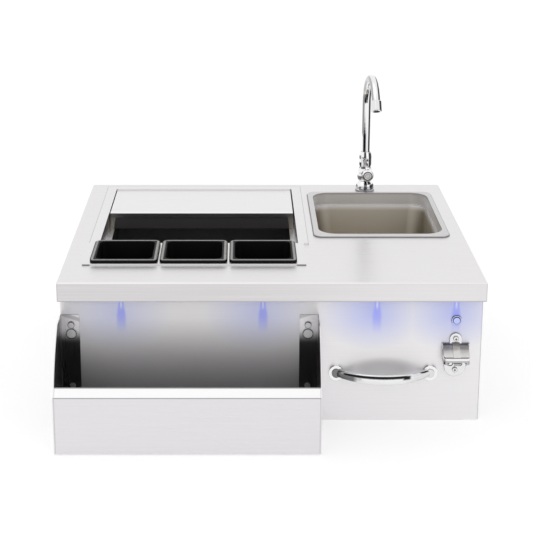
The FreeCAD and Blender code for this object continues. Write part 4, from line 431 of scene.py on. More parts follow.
def rack_tone(tree, links, tone):
    """Painted shadow: the rack's front edge is dark where it stands out beside the trays."""
    x, y, z = parts_of(tree, links)
    front = ranged(tree, links, y, RACK_FRONT + 0.3 * MM, RACK_FRONT + 1.0 * MM, 1.0, 0.0)
    beside = ranged(tree, links, away_from(tree, links, x, TRAY_ROW_MIDDLE), TRAY_ROW_HALF - 2 * MM,
                    TRAY_ROW_HALF, 0.12, 0.85)
    lower = ranged(tree, links, z, COUNTER_TOP + 1.2 * MM, COUNTER_TOP + 1.8 * MM, 1.0, 0.0)
    return mixed(tree, links, product(tree, links, front, beside, lower), tone, LIP_SHADE)


finish_nodes(["tray_rack"], brushed_steel("rack brushed steel", WELL_COLOUR, 0.30, "x", rack_tone))

# ---------------------------------------------------------------------------------------------- basin
# A deep-drawn basin with a rolled flange that sits on the counter in a bead of sealant. Drawing leaves a
# satin skin; inside, painted shade and painted reflection make it darker and warmer than the flange. A
# basket strainer closes its drain, and the bin's drain is turned from the same steel.

# Painted highlight and shade inside the basin.
BASIN_WALL_TOP_HIGHLIGHT = (0.920, 0.910, 0.915)
BASIN_WALL_LOW_SHADE = (0.580, 0.537, 0.460)
BASIN_FLOOR_SHADE = (0.390, 0.354, 0.294)
BASIN_FLOOR = 0.125
BASIN_LEDGE = COUNTER_TOP - 22 * MM
BASIN_FLANGE = (0.640, 0.630, 0.635)
BASIN_SHADE = (0.10, 0.09, 0.08)
LEDGE_SHADE = (0.36, 0.35, 0.35)
FLANGE_CORNER = 16 * MM
BEAD_WIDTH = 1.5 * MM
BEAD_HEIGHT = 1.2 * MM


def basin_tone(tree, links, tone):
    """Painted light and shade: bright flange, a painted highlight on the upper walls, a ledge under it
    dulled with painted shade, walls painted warm and darker below and on the sides, and the floor painted
    dull.
    """
    _, _, z = parts_of(tree, links)
    inside = ranged(tree, links, z, COUNTER_TOP - 1 * MM, COUNTER_TOP + 2.5 * MM, 1.0, 0.0)
    lower = ranged(tree, links, z, COUNTER_TOP - 36 * MM, COUNTER_TOP - 20 * MM, 1.0, 0.0, "SMOOTHSTEP")
    across, _, up = parts_of(tree, links, "Normal")
    sides = ranged(tree, links, away_from(tree, links, across, 0.0), 0.3, 0.8, 0.0, 0.34, "SMOOTHSTEP")
    floor_part = ranged(tree, links, z, BASIN_FLOOR + 12 * MM, BASIN_FLOOR + 36 * MM, 1.0, 0.0, "SMOOTHSTEP")
    walls = mixed(tree, links, lower, BASIN_WALL_TOP_HIGHLIGHT, BASIN_WALL_LOW_SHADE)
    walls = mixed(tree, links, product(tree, links, sides, lower), walls, BASIN_SHADE)
    ledge = product(tree, links, ranged(tree, links, up, 0.5, 0.8, 0.0, 1.0),
                    ranged(tree, links, away_from(tree, links, z, BASIN_LEDGE), 1 * MM, 2 * MM, 0.9, 0.0))
    walls = mixed(tree, links, ledge, walls, LEDGE_SHADE)
    return mixed(tree, links, inside, tone, mixed(tree, links, floor_part, walls, BASIN_FLOOR_SHADE))


def satin_steel(name, colour, roughness, tint=None):
    """Steel with the even satin skin that drawing or turning leaves."""
    material, tree, links, shader = new_material(name)
    clouds = stretched_noise(tree, links, (9.0, 9.0, 9.0))
    tone = mixed(tree, links, ranged(tree, links, clouds, 0.3, 0.7, 0.0, 1.0),
                 tuple(channel * 0.97 for channel in colour), tuple(channel * 1.03 for channel in colour))
    if tint is not None:
        tone = tint(tree, links, tone)
    links.new(tone, shader.inputs["Base Color"])
    links.new(ranged(tree, links, clouds, 0.3, 0.7, roughness - 0.02, roughness + 0.03),
              shader.inputs["Roughness"])
    shader.inputs["Metallic"].default_value = 1.0
    return material


def new_piece(name, mesh, material, body, smooth=True):
    """Makes an object of a finished bmesh, with its finish, on the CAD body that it moves with."""
    bmesh.ops.remove_doubles(mesh, verts=mesh.verts, dist=0.00001)
    bmesh.ops.recalc_face_normals(mesh, faces=mesh.faces)
    data = bpy.data.meshes.new(name)
    mesh.to_mesh(data)
    mesh.free()
    for polygon in data.polygons:
        polygon.use_smooth = smooth
    data.materials.append(material)
    piece = bpy.data.objects.new(name, data)
    bpy.context.scene.collection.objects.link(piece)
    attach(piece, body)


def bead_round(low, high, corner, width, foot, height):
    """A bead of sealant outside a rectangle, rounded at its corners."""
    mesh = bmesh.new()
    middle = (low + high) / 2
    half_x, half_y = (high.x - low.x) / 2 + width, (high.y - low.y) / 2 + width
    made = bmesh.ops.create_grid(mesh, x_segments=1, y_segments=1, size=1.0)
    bmesh.ops.scale(mesh, verts=made["verts"], vec=(half_x, half_y, 1.0))
    bmesh.ops.bevel(mesh, geom=list(mesh.verts), offset=corner + width, segments=8, affect="VERTICES",
                    profile=0.5, material=-1)
    inner = list(mesh.faces)
    bmesh.ops.inset_region(mesh, faces=inner, thickness=width * 1.6, use_boundary=True,
                           use_even_offset=True)
    bmesh.ops.delete(mesh, geom=inner, context="FACES_ONLY")
    ring = bmesh.ops.extrude_face_region(mesh, geom=list(mesh.faces))
    raised = [item for item in ring["geom"] if isinstance(item, bmesh.types.BMVert)]
    bmesh.ops.translate(mesh, verts=raised, vec=(0.0, 0.0, height))
    bmesh.ops.translate(mesh, verts=mesh.verts, vec=(middle.x, middle.y, foot))
    return mesh


finish_nodes(["sink_basin"], satin_steel("basin drawn steel", BASIN_FLANGE, 0.42, basin_tone))
# The bead is sealant, and its dark grey is also painted shade for the gap under the flange's edge.
sealant = moulded_plastic("grey sealant and gap shade", (0.200, 0.195, 0.195), 0.45, 400.0, 0.0001, 0.4)
flange_low, flange_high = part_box("sink_basin")
bead = bead_round(flange_low, flange_high, FLANGE_CORNER, BEAD_WIDTH, COUNTER_TOP, BEAD_HEIGHT)
new_piece("basin_sealant_and_gap_shade", bead, sealant, "frame", smooth=False)
drain_steel = brushed_steel("turned drain steel", (0.60, 0.59, 0.58), 0.22)
finish_nodes(["bin_drain", "bin_drain_nut", "strainer_body", "strainer_nut", "strainer_basket", "tailpiece",
              "tailpiece_nut"], drain_steel)
rubber = moulded_plastic("black rubber", (0.020, 0.020, 0.020), 0.7, 500.0, 0.0001, 0.3)
finish_nodes(["bin_drain_gasket", "strainer_gasket"], rubber)

# ------------------------------------------------------------------------------------------------ tap
# A cast brass body, bell-shaped at its foot, with a bent tube in its collar and a round knob in front.
# All of it is polished and chromed but the knob's cap, which is pale enamel. Reflections of the room's dark
# edges are painted on the chrome as narrow bands and as patches.

CHROME_COLOUR = (0.86, 0.86, 0.87)
CHROME_REFLECTED_DARK = (0.035, 0.035, 0.040)
TAP_AXIS = Vector((0.2142, 0.2920, 0.0))
TAP_TURN = math.radians(6.0)
KNOB_HEIGHT = 38.6 * MM
CAP_RADIUS = 8.0 * MM
COLLAR_RADIUS = 13.1 * MM
SET_SCREW_HEIGHT = 69 * MM


def polished_chrome(name, colour=CHROME_COLOUR, dark=CHROME_REFLECTED_DARK, roughness=0.06,
                    bands=(), level_bands=(), patches=()):
    """Chrome with painted dark reflections: bands where its skin faces to the sides, and others by how far
    it faces up. A patch is a band across, between two heights over the counter in millimetres, with a depth."""
    material, tree, links, shader = new_material(name)
    across, _, up = parts_of(tree, links, "Normal")
    marks = stretched_noise(tree, links, (35.0, 35.0, 12.0))
    sway = ranged(tree, links, marks, 0.0, 1.0, -0.08, 0.08)
    shapes = []
    for lean, spans in ((across, bands), (up, level_bands)):
        swayed = arithmetic(tree, links, "ADD", lean, sway)
        for low, high in spans:
            half = (high - low) / 2
            aside = away_from(tree, links, swayed, (low + high) / 2)
            shapes.append(ranged(tree, links, aside, half * 0.75, half * 1.15, 1.0, 0.0, "SMOOTHSTEP"))
    _, _, z = parts_of(tree, links)
    across = arithmetic(tree, links, "ADD", across, sway)
    height = arithmetic(tree, links, "ADD", z, ranged(tree, links, marks, 0.0, 1.0, -1.5 * MM, 1.5 * MM))
    for low, high, foot, head, depth in patches:
        half = (high - low) / 2
        aside = away_from(tree, links, across, (low + high) / 2)
        patch = ranged(tree, links, aside, half * 0.8, half * 1.15, depth, 0.0, "SMOOTHSTEP")
        half = (head - foot) / 2 * MM
        above = away_from(tree, links, height, COUNTER_TOP + (foot + head) / 2 * MM)
        shapes.append(product(tree, links, patch,
                              ranged(tree, links, above, half * 0.8, half * 1.15, 1.0, 0.0, "SMOOTHSTEP")))
    links.new(mixed(tree, links, strongest(tree, links, *shapes), colour, dark), shader.inputs["Base Color"])
    links.new(ranged(tree, links, marks, 0.3, 0.7, roughness * 0.7, roughness * 1.5),
              shader.inputs["Roughness"])
    shader.inputs["Metallic"].default_value = 1.0
    return material


# Painted dark reflections on the bent tube and on the cast body, patch by patch.
tube_chrome = polished_chrome("tube chrome", bands=((0.48, 1.08),), patches=(
    (-0.72, -0.05, 84, 128, 0.92), (-1.10, -0.56, 122, 216, 0.70), (-0.70, 0.20, 194, 214, 0.80),
    (-1.10, -0.60, 214, 300, 0.50)))
cast_chrome = polished_chrome("cast chrome", (0.90, 0.90, 0.91), patches=(
    (0.46, 1.10, 50, 86, 1.0), (-0.34, 0.06, 73, 86, 0.95), (-1.10, -0.70, 50, 63, 1.0),
    (-1.10, -0.76, 70, 78, 0.8), (-0.62, -0.02, 49, 54, 0.9), (0.12, 0.38, 56, 62, 0.9),
    (0.30, 0.96, 24, 33, 1.0), (-1.00, -0.52, 25, 34, 0.8), (0.46, 0.98, 4, 15, 1.0),
    (-0.16, 0.18, 4, 24, 0.85), (-1.06, -0.84, 5, 14, 0.9), (-0.68, -0.42, 4, 11, 0.8),
    (0.24, 0.60, 15, 24, 1.0), (-1.20, 1.20, 0, 3.6, 0.60)))
finish_nodes(["tap_spout"], tube_chrome)
finish_nodes(["tap_aerator"], polished_chrome("outlet chrome", (0.80, 0.80, 0.81), bands=((0.48, 1.08),)))
finish_nodes(["tap_body"], cast_chrome)
knob_chrome = polished_chrome("knob chrome", (0.92, 0.92, 0.93), bands=((-1.00, -0.72), (0.60, 0.98)),
                              level_bands=((-0.95, -0.66),))
finish_nodes(["tap_handle"], knob_chrome)
finish_nodes(["tap_index"], moulded_plastic("cap enamel", (0.84, 0.84, 0.86), 0.25, 200.0, 0.00002))
finish_nodes(["tap_gasket"], moulded_plastic("brown rubber", (0.120, 0.085, 0.060), 0.6, 500.0, 0.0001, 0.3))


def turned_ring(mesh, profile, steps=40):
    """Spins a closed profile of (radius, height) round the z axis."""
    corners = [mesh.verts.new((radius, 0.0, height)) for radius, height in profile]
    edges = [mesh.edges.new((corners[number - 1], corners[number])) for number in range(len(corners))]
    bmesh.ops.spin(mesh, geom=corners + edges, cent=(0.0, 0.0, 0.0), axis=(0.0, 0.0, 1.0),
                   angle=math.tau, steps=steps, use_merge=True, use_duplicate=False)


# The bell's skin: it leans in from the foot's rim to the narrow neck of the urn, all round the casting.
mesh = bmesh.new()
turned_ring(mesh, [(9.0 * MM, 6 * MM), (18.9 * MM, 6 * MM), (18.9 * MM, 11.5 * MM), (18.2 * MM, 14 * MM),
                   (15.6 * MM, 17.5 * MM), (13.2 * MM, 20.5 * MM), (11.8 * MM, 23.5 * MM),
                   (11.2 * MM, 26 * MM), (9.0 * MM, 26 * MM)], 56)
bmesh.ops.translate(mesh, verts=mesh.verts, vec=TAP_AXIS + Vector((0.0, 0.0, COUNTER_TOP)))
new_piece("tap_bell_skin", mesh, cast_chrome, "frame")


def square_ring(mesh, inner, outer, low, high, steps=40):
    """Spins a rectangle round the z axis into a flat ring."""
    turned_ring(mesh, [(inner, low), (outer, low), (outer, high), (inner, high)], steps)


def turn_to(mesh, place, direction):
    """Takes a mesh made along z to a place, with z pointing in a direction."""
    turned = Vector(direction).to_track_quat("Z", "Y").to_matrix().to_4x4()
    bmesh.ops.transform(mesh, matrix=Matrix.Translation(place) @ turned, verts=mesh.verts)


knob_out = Vector((math.sin(TAP_TURN), -math.cos(TAP_TURN), 0.0))
knob_axis = TAP_AXIS + Vector((0.0, 0.0, COUNTER_TOP + KNOB_HEIGHT))
knob_face = (knob_axis.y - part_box("tap_index")[0].y - CAP_RADIUS * math.sin(TAP_TURN)) / math.cos(TAP_TURN)
# One dark finish for the knob's seams and for the rings, crosses and sockets painted as shade elsewhere.
seam_and_shade_line = moulded_plastic("dark seam and painted shade", (0.022, 0.022, 0.024), 0.5, 500.0, 0.00005, 0.3)

# The seam round the knob's cap, and a finer ring on the cap.
mesh = bmesh.new()
square_ring(mesh, CAP_RADIUS, CAP_RADIUS + 1.0 * MM, -0.4 * MM, 0.12 * MM)
square_ring(mesh, 4.6 * MM, 5.0 * MM, 0.0, 0.10 * MM)
turn_to(mesh, knob_axis + knob_out * knob_face, knob_out)
new_piece("knob_rings", mesh, seam_and_shade_line, "knob", smooth=False)

# The set screw in the collar, with a six-sided socket laid in as a dark plate of painted shade.
screw_out = Vector((math.sin(2 * TAP_TURN), -math.cos(2 * TAP_TURN), 0.0))
mesh = bmesh.new()
turned_ring(mesh, [(1.9 * MM, -2.0 * MM), (4.0 * MM, -2.0 * MM), (4.0 * MM, 0.3 * MM), (3.6 * MM, 0.8 * MM),
                   (1.9 * MM, 0.8 * MM)], 24)
screw_place = TAP_AXIS + Vector((0.0, 0.0, COUNTER_TOP + SET_SCREW_HEIGHT)) + screw_out * COLLAR_RADIUS
turn_to(mesh, screw_place, screw_out)
new_piece("tap_set_screw", mesh, satin_steel("set screw steel", (0.70, 0.70, 0.71), 0.20), "frame",
          smooth=False)
mesh = bmesh.new()
bmesh.ops.create_circle(mesh, cap_ends=True, segments=6, radius=2.0 * MM)
socket = bmesh.ops.extrude_face_region(mesh, geom=list(mesh.faces))
raised = [item for item in socket["geom"] if isinstance(item, bmesh.types.BMVert)]
bmesh.ops.translate(mesh, verts=raised, vec=(0.0, 0.0, 0.6 * MM))
turn_to(mesh, screw_place, screw_out)
new_piece("tap_set_screw_socket", mesh, seam_and_shade_line, "frame", smooth=False)

# ---------------------------------------------------------------------------------------- bottle rail
# A folded trough with two end plates, hung by keyholes on headed studs. Little light reaches its inside, so
# the end plates' inner faces are painted black as shade and the trough's inside is painted a paler steel as
# light. The lip on its front faces the light and carries a painted highlight.

RAIL_COLOUR = (0.752, 0.735, 0.752)
RAIL_INSIDE_PAINTED_LIGHT = (0.82, 0.81, 0.82)
LIP_HIGHLIGHT = (0.835, 0.826, 0.826)
SEAM_AND_SHADE_LINE = (0.12, 0.12, 0.12)
END_SHADE_BLACK = (0.090, 0.088, 0.086)
RAIL_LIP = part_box("rail_trough")[1].z
RAIL_FOLD = RAIL_LIP - 12.5 * MM
RAIL_MIDDLE = (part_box("rail_trough")[0].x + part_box("rail_trough")[1].x) / 2
RAIL_HALF = (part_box("rail_trough")[1].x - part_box("rail_trough")[0].x) / 2
RAIL_FLOOR_LIMIT = 0.090
PLATE_REAR, HOOK_FRONT = -0.330, -0.315
HOOK_BLACK, HOOK_BRIGHT = 0.150, 0.178
HOOK_STREAK_TOP, HOOK_STREAK_SLOPE = 0.205, 0.35
FLANGE_FRONT = PANEL_FRONT - 2.9 * MM
STUD_PLACES = (-0.3600, 0.0658)
STUD_HEAD = 5.4 * MM
MOUTH_HEIGHT = 0.1689


def trough_tone(tree, links, tone):
    """Painted light and shade: a brighter lip as a painted highlight, dark lines painted as shade at its
    fold and along its edge, and a fainter dark line at its ends. The inside is painted a paler steel, as
    painted light, because little light reaches it."""
    _, back, up = parts_of(tree, links, "Normal")
    x, _, z = parts_of(tree, links)
    inner = ranged(tree, links, back, 0.3, 0.6, 0.0, 1.0)
    floor = product(tree, links, ranged(tree, links, up, 0.6, 0.9, 0.0, 1.0),
                    ranged(tree, links, z, RAIL_FLOOR_LIMIT, RAIL_FLOOR_LIMIT + 5 * MM, 1.0, 0.0))
    lip = product(tree, links, ranged(tree, links, z, RAIL_FOLD, RAIL_FOLD + 0.4 * MM, 0.0, 1.0),
                  ranged(tree, links, back, -0.2, 0.2, 1.0, 0.0))
    fold = ranged(tree, links, away_from(tree, links, z, RAIL_FOLD), 0.2 * MM, 1.1 * MM, 0.75, 0.0)
    edge = ranged(tree, links, z, RAIL_LIP - 1.6 * MM, RAIL_LIP - 0.9 * MM, 0.0, 0.8)
    ends = ranged(tree, links, away_from(tree, links, x, RAIL_MIDDLE), RAIL_HALF - 2.6 * MM,
                  RAIL_HALF - 1.4 * MM, 0.0, 0.22)
    fold = strongest(tree, links, fold, ends)
    tone = mixed(tree, links, lip, tone, LIP_HIGHLIGHT)
    tone = mixed(tree, links, strongest(tree, links, fold, edge), tone, SEAM_AND_SHADE_LINE)
    return mixed(tree, links, strongest(tree, links, inner, floor), tone, RAIL_INSIDE_PAINTED_LIGHT)


def end_tone(inward, streak_start):
    """Painted shade and reflection: black on the inner face and, below the keyholes, on the flange that
    hangs on the studs, with dark lines painted along the flange's cut edges. A faint painted dark reflection
    slants across the flange from its outer corner."""
    slant_start = HOOK_STREAK_TOP + inward * HOOK_STREAK_SLOPE * streak_start

    def tone_of(tree, links, tone):
        across, back, _ = parts_of(tree, links, "Normal")
        x, y, z = parts_of(tree, links)
        flange = ranged(tree, links, y, PLATE_REAR, HOOK_FRONT, 0.0, 1.0)
        plate = ranged(tree, links, y, PLATE_REAR, HOOK_FRONT, 1.0, 0.0)
        inner = product(tree, links, plate,
                        ranged(tree, links, product(tree, links, across, inward), 0.3, 0.6, 0.0, 1.0))
        front = ranged(tree, links, back, -0.9, -0.7, 1.0, 0.0)
        low = ranged(tree, links, z, HOOK_BLACK, HOOK_BRIGHT, 1.0, 0.0, "SMOOTHSTEP")
        slant = arithmetic(tree, links, "ADD", z, product(tree, links, x, inward * HOOK_STREAK_SLOPE))
        streak = product(tree, links, 0.4, ranged(
            tree, links, away_from(tree, links, slant, slant_start), 1.5 * MM, 6.0 * MM, 1.0, 0.0,
            "SMOOTHSTEP"))
        face = product(tree, links, flange, front, strongest(tree, links, low, streak))
        cut_edge = product(tree, links, flange, ranged(tree, links, back, -0.7, -0.5, 0.0, 0.85))
        dark = strongest(tree, links, inner, face, cut_edge)
        return mixed(tree, links, dark, tone, END_SHADE_BLACK)
    return tone_of


def add_to(whole, piece):
    """Adds a finished bmesh to another one and frees it."""
    carrier = bpy.data.meshes.new("carrier")
    piece.to_mesh(carrier)
    piece.free()
    whole.from_mesh(carrier)
    bpy.data.meshes.remove(carrier)


finish_nodes(["rail_trough"], brushed_steel("rail brushed steel", RAIL_COLOUR, 0.30, "x", trough_tone))
finish_nodes(["rail_end_left"],
             brushed_steel("left end brushed steel", RAIL_COLOUR, 0.30, "z", end_tone(1.0, -0.372)))
finish_nodes(["rail_end_right"],
             brushed_steel("right end brushed steel", RAIL_COLOUR, 0.30, "z", end_tone(-1.0, 0.062)))

# Dark rings painted as shade at the edges of the keyholes' large holes move with the rail.
mesh = bmesh.new()
for across in STUD_PLACES:
    mouth = bmesh.new()
    square_ring(mouth, 8.6 * MM, 9.6 * MM, 0.0, 0.15 * MM)
    turn_to(mouth, Vector((across, FLANGE_FRONT, MOUTH_HEIGHT)), (0.0, -1.0, 0.0))
    add_to(mesh, mouth)
new_piece("keyhole_edges", mesh, seam_and_shade_line, "speed_rail", smooth=False)

# Dark rings at the rims of the studs' heads, painted as their shadow, stay on the panel.
studs_low, studs_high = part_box("rail_studs")
mesh = bmesh.new()
for across in STUD_PLACES:
    for height in (studs_low.z + STUD_HEAD, studs_high.z - STUD_HEAD):
        rim = bmesh.new()
        square_ring(rim, STUD_HEAD, STUD_HEAD + 0.6 * MM, -1.2 * MM, -0.3 * MM)
        place = Vector((across, studs_low.y, height))
        turn_to(rim, place, (0.0, -1.0, 0.0))
        add_to(mesh, rim)
new_piece("stud_rims", mesh, seam_and_shade_line, "frame", smooth=False)

# ----------------------------------------------------------------------------------------- towel bar
# A bowed bar of oval section on two oval plates, cast in zinc and chromed. The reflection of dark plates of
# the room is painted as a black line along the bar's upper edge.

BAR_MIDDLE = (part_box("towel_bar")[0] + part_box("towel_bar")[1]) / 2


def bar_chrome():
    """Chrome with painted reflections: a black line along the bar's upper edge that ends in a blob, a dark
    left end and a slightly darker right part, and painted shade on its underside.
    """
    material, tree, links, shader = new_material("bar chrome")
    _, _, up = parts_of(tree, links, "Normal")
    x, _, _ = parts_of(tree, links)
    aside = away_from(tree, links, x, BAR_MIDDLE.x - 16 * MM)
    line = ranged(tree, links, away_from(tree, links, up, 0.34), 0.12, 0.28, 1.0, 0.0, "SMOOTHSTEP")
    line = product(tree, links, line, ranged(tree, links, aside, 54 * MM, 62 * MM, 1.0, 0.0, "SMOOTHSTEP"))
    blob = product(tree, links, ranged(tree, links, away_from(tree, links, x, BAR_MIDDLE.x + 40 * MM),
                                       4 * MM, 10 * MM, 1.0, 0.0, "SMOOTHSTEP"),
                   ranged(tree, links, away_from(tree, links, up, 0.22), 0.16, 0.32, 1.0, 0.0))
    end = ranged(tree, links, x, BAR_MIDDLE.x - 80 * MM, BAR_MIDDLE.x - 68 * MM, 0.80, 0.0)
    front = product(tree, links, ranged(tree, links, up, 0.20, 0.30, 1.0, 0.0),
                    ranged(tree, links, x, BAR_MIDDLE.x - 56 * MM, BAR_MIDDLE.x - 48 * MM, 0.74, 0.0))
    left = strongest(tree, links, end, front)
    right = ranged(tree, links, x, BAR_MIDDLE.x + 30 * MM, BAR_MIDDLE.x + 60 * MM, 0.0, 0.16)
    under = ranged(tree, links, up, -0.98, -0.86, 0.55, 0.0)
    dark = strongest(tree, links, line, blob, left, right, under)
    links.new(mixed(tree, links, dark, (0.84, 0.84, 0.84), (0.02, 0.02, 0.02)), shader.inputs["Base Color"])
    marks = stretched_noise(tree, links, (40.0, 40.0, 40.0))
    links.new(ranged(tree, links, marks, 0.3, 0.7, 0.05, 0.11), shader.inputs["Roughness"])
    shader.inputs["Metallic"].default_value = 1.0
    return material


finish_nodes(["towel_bar"], bar_chrome())
# The plates carry painted dark reflections too.
finish_nodes(["towel_bar_roses"], polished_chrome("plate chrome", (0.86, 0.86, 0.86), (0.10, 0.10, 0.10),
                                                  0.10, ((-0.95, -0.4), (0.6, 0.95)), ((0.5, 0.95),)))

# -------------------------------------------------------------------------------------- bottle opener
# The opener is one iron casting, ground and polished, with a hollow hood over two notches and a tooth.
# Two cross-headed screws hold it, and the casing's screws have like heads.

OPENER_LOW, OPENER_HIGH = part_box("bottle_opener")
HOOD_TOP = OPENER_HIGH.z - 20 * MM
HOOD_LIP = HOOD_TOP - 28 * MM
OPENER_MIDDLE = (OPENER_LOW.x + OPENER_HIGH.x) / 2
NOTCH_HEIGHT = 0.1120
NOTCH_ASIDE = 8.5 * MM
OPENER_HEAD = 4.4 * MM
CASING_HEAD = 4.0 * MM


def opener_casting():
    """Painted light and shade: bands across the hood, dark where it leaves the plate, then mid grey, a dark
    line and a painted highlight on the lip, with painted shade on its left side, shoulders and under the
    lip, along the plate's edges and on faces turned down.
    """
    material, tree, links, shader = new_material("opener casting")
    across, back, up = parts_of(tree, links, "Normal")
    x, y, z = parts_of(tree, links)
    hood = ranged(tree, links, y, OPENER_HIGH.y - 7 * MM, OPENER_HIGH.y - 5 * MM, 1.0, 0.0)
    cloud = stretched_noise(tree, links, (90.0, 90.0, 90.0))
    swayed = arithmetic(tree, links, "ADD", z, ranged(tree, links, cloud, 0.0, 1.0, -1.5 * MM, 1.5 * MM))
    upper = ranged(tree, links, swayed, HOOD_TOP - 10 * MM, HOOD_TOP - 6 * MM, 0.0, 1.0, "SMOOTHSTEP")
    band = mixed(tree, links, upper, (0.64, 0.625, 0.61), (0.45, 0.435, 0.415))
    from_middle = away_from(tree, links, x, OPENER_MIDDLE)
    shoulder = product(tree, links, ranged(tree, links, from_middle, 8 * MM, 10 * MM, 0.4, 1.0),
                       ranged(tree, links, z, HOOD_TOP - 2.6 * MM, HOOD_TOP - 1.2 * MM, 0.0, 0.85))
    band = mixed(tree, links, shoulder, band, (0.05, 0.05, 0.05))
    side = ranged(tree, links, across, -0.9, -0.6, 0.9, 0.0)
    band = mixed(tree, links, side, band, (0.05, 0.05, 0.05))
    shade = ranged(tree, links, away_from(tree, links, z, HOOD_LIP + 9.4 * MM), 0.5 * MM, 1.4 * MM, 0.8, 0.0)
    band = mixed(tree, links, shade, band, (0.10, 0.10, 0.10))
    lip = ranged(tree, links, z, HOOD_LIP + 8.0 * MM, HOOD_LIP + 8.6 * MM, 1.0, 0.0)
    band = mixed(tree, links, lip, band, (0.90, 0.89, 0.90))
    under_lip = ranged(tree, links, z, HOOD_LIP + 3.5 * MM, HOOD_LIP + 5.5 * MM, 1.0, 0.0)
    band = mixed(tree, links, under_lip, band, (0.46, 0.45, 0.46))
    cut = product(tree, links, ranged(tree, links, z, HOOD_LIP + 1.5 * MM, HOOD_LIP + 2.5 * MM, 1.0, 0.0),
                  ranged(tree, links, back, -0.8, -0.5, 0.0, 1.0))
    band = mixed(tree, links, cut, band, (0.03, 0.03, 0.03))
    plate = mixed(tree, links, cloud, (0.74, 0.73, 0.74), (0.84, 0.83, 0.84))
    outline = ranged(tree, links, back, -0.92, -0.70, 0.0, 0.85)
    plate = mixed(tree, links, outline, plate, (0.06, 0.06, 0.06))
    tone = mixed(tree, links, hood, plate, band)
    below = product(tree, links, ranged(tree, links, up, -0.8, -0.5, 1.0, 0.0),
                    ranged(tree, links, y, OPENER_HIGH.y - 4 * MM, OPENER_HIGH.y - 3 * MM, 1.0, 0.0))
    links.new(mixed(tree, links, below, tone, (0.04, 0.04, 0.04)), shader.inputs["Base Color"])
    links.new(ranged(tree, links, cloud, 0.3, 0.7, 0.16, 0.26), shader.inputs["Roughness"])
    shader.inputs["Metallic"].default_value = 1.0
    bump = tree.new("ShaderNodeBump")
    bump.inputs["Strength"].default_value = 0.15
    bump.inputs["Distance"].default_value = 0.0003
    links.new(cloud, bump.inputs["Height"])
    links.new(bump.outputs["Normal"], shader.inputs["Normal"])
    return material


finish_nodes(["bottle_opener"], opener_casting())


def turned_cap(mesh, profile, steps=32):
    """Spins a profile that starts and ends on the z axis into a closed head or cap."""
    corners = [mesh.verts.new((radius, 0.0, height)) for radius, height in profile]
    edges = [mesh.edges.new(pair) for pair in zip(corners, corners[1:])]
    bmesh.ops.spin(mesh, geom=corners + edges, cent=(0.0, 0.0, 0.0), axis=(0.0, 0.0, 1.0),
                   angle=math.tau, steps=steps, use_merge=True, use_duplicate=False)


def cross_head(heads, crosses, place, direction, radius, height):
    """A domed screw head with a dark line painted as shadow round it, and a dark cross laid on top as the
    painted shade of the recess that a driver fits.
    """
    head = bmesh.new()
    turned_cap(head, [(0.0, 0.0), (radius, 0.0), (radius, height * 0.3), (radius * 0.88, height * 0.65),
                      (radius * 0.55, height * 0.94), (0.0, height)])
    turn_to(head, place, direction)
    add_to(heads, head)
    cross = bmesh.new()
    bmesh.ops.create_grid(cross, x_segments=3, y_segments=3, size=radius * 0.48)
    middles = [(face, face.calc_center_median()) for face in cross.faces]
    corners = [face for face, middle in middles if min(abs(middle.x), abs(middle.y)) > radius * 0.15]
    bmesh.ops.delete(cross, geom=corners, context="FACES")
    arms = bmesh.ops.extrude_face_region(cross, geom=list(cross.faces))
    raised = [item for item in arms["geom"] if isinstance(item, bmesh.types.BMVert)]
    bmesh.ops.translate(cross, verts=raised, vec=(0.0, 0.0, height * 1.03))
    square_ring(cross, radius, radius * 1.09, 0.0, height * 0.12, 28)
    turn_to(cross, place, direction)
    add_to(crosses, cross)


# Dark rings painted as the shadow round the edges of the two notches beside the tooth.
mesh = bmesh.new()
for aside in (-NOTCH_ASIDE, NOTCH_ASIDE):
    notch = bmesh.new()
    square_ring(notch, 3.6 * MM, 4.9 * MM, -0.5 * MM, 0.8 * MM, 28)
    place = Vector((OPENER_MIDDLE + aside, OPENER_HIGH.y - 3.2 * MM, NOTCH_HEIGHT))
    turn_to(notch, place, (0.0, -1.0, 0.0))
    add_to(mesh, notch)
new_piece("opener_notches", mesh, seam_and_shade_line, "frame", smooth=False)

fastener_steel = brushed_steel("turned fastener steel", (0.58, 0.57, 0.58), 0.28)
finish_nodes(["tap_washer", "tap_nut", "basin_clips", "casing_screws", "rail_studs", "stud_nuts",
              "towel_bar_nuts", "opener_screws", "button_nut"], fastener_steel)
heads, crosses = bmesh.new(), bmesh.new()
screw_low, screw_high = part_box("opener_screws")
for height in (screw_low.z + OPENER_HEAD, screw_high.z - OPENER_HEAD):
    place = Vector(((screw_low.x + screw_high.x) / 2, screw_low.y, height))
    cross_head(heads, crosses, place, (0.0, -1.0, 0.0), OPENER_HEAD, 0.9 * MM)
low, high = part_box("casing_screws")
for face, out in ((low.x, -1.0), (high.x, 1.0)):
    for along in (low.y + CASING_HEAD, (low.y + high.y) / 2, high.y - CASING_HEAD):
        place = Vector((face, along, (low.z + high.z) / 2))
        cross_head(heads, crosses, place, (out, 0.0, 0.0), CASING_HEAD, 0.8 * MM)
head_steel = satin_steel("screw head steel", (0.84, 0.83, 0.84), 0.35)
new_piece("screw_heads", heads, head_steel, "frame")
new_piece("screw_crosses", crosses, seam_and_shade_line, "frame", smooth=False)

# --------------------------------------------------------------------------------------- push button
# A small metal push button for the lamps: a bevelled ring, a pressed part with a bright face, and a thin
# dark gap between them, painted as shade above and as blue light below.

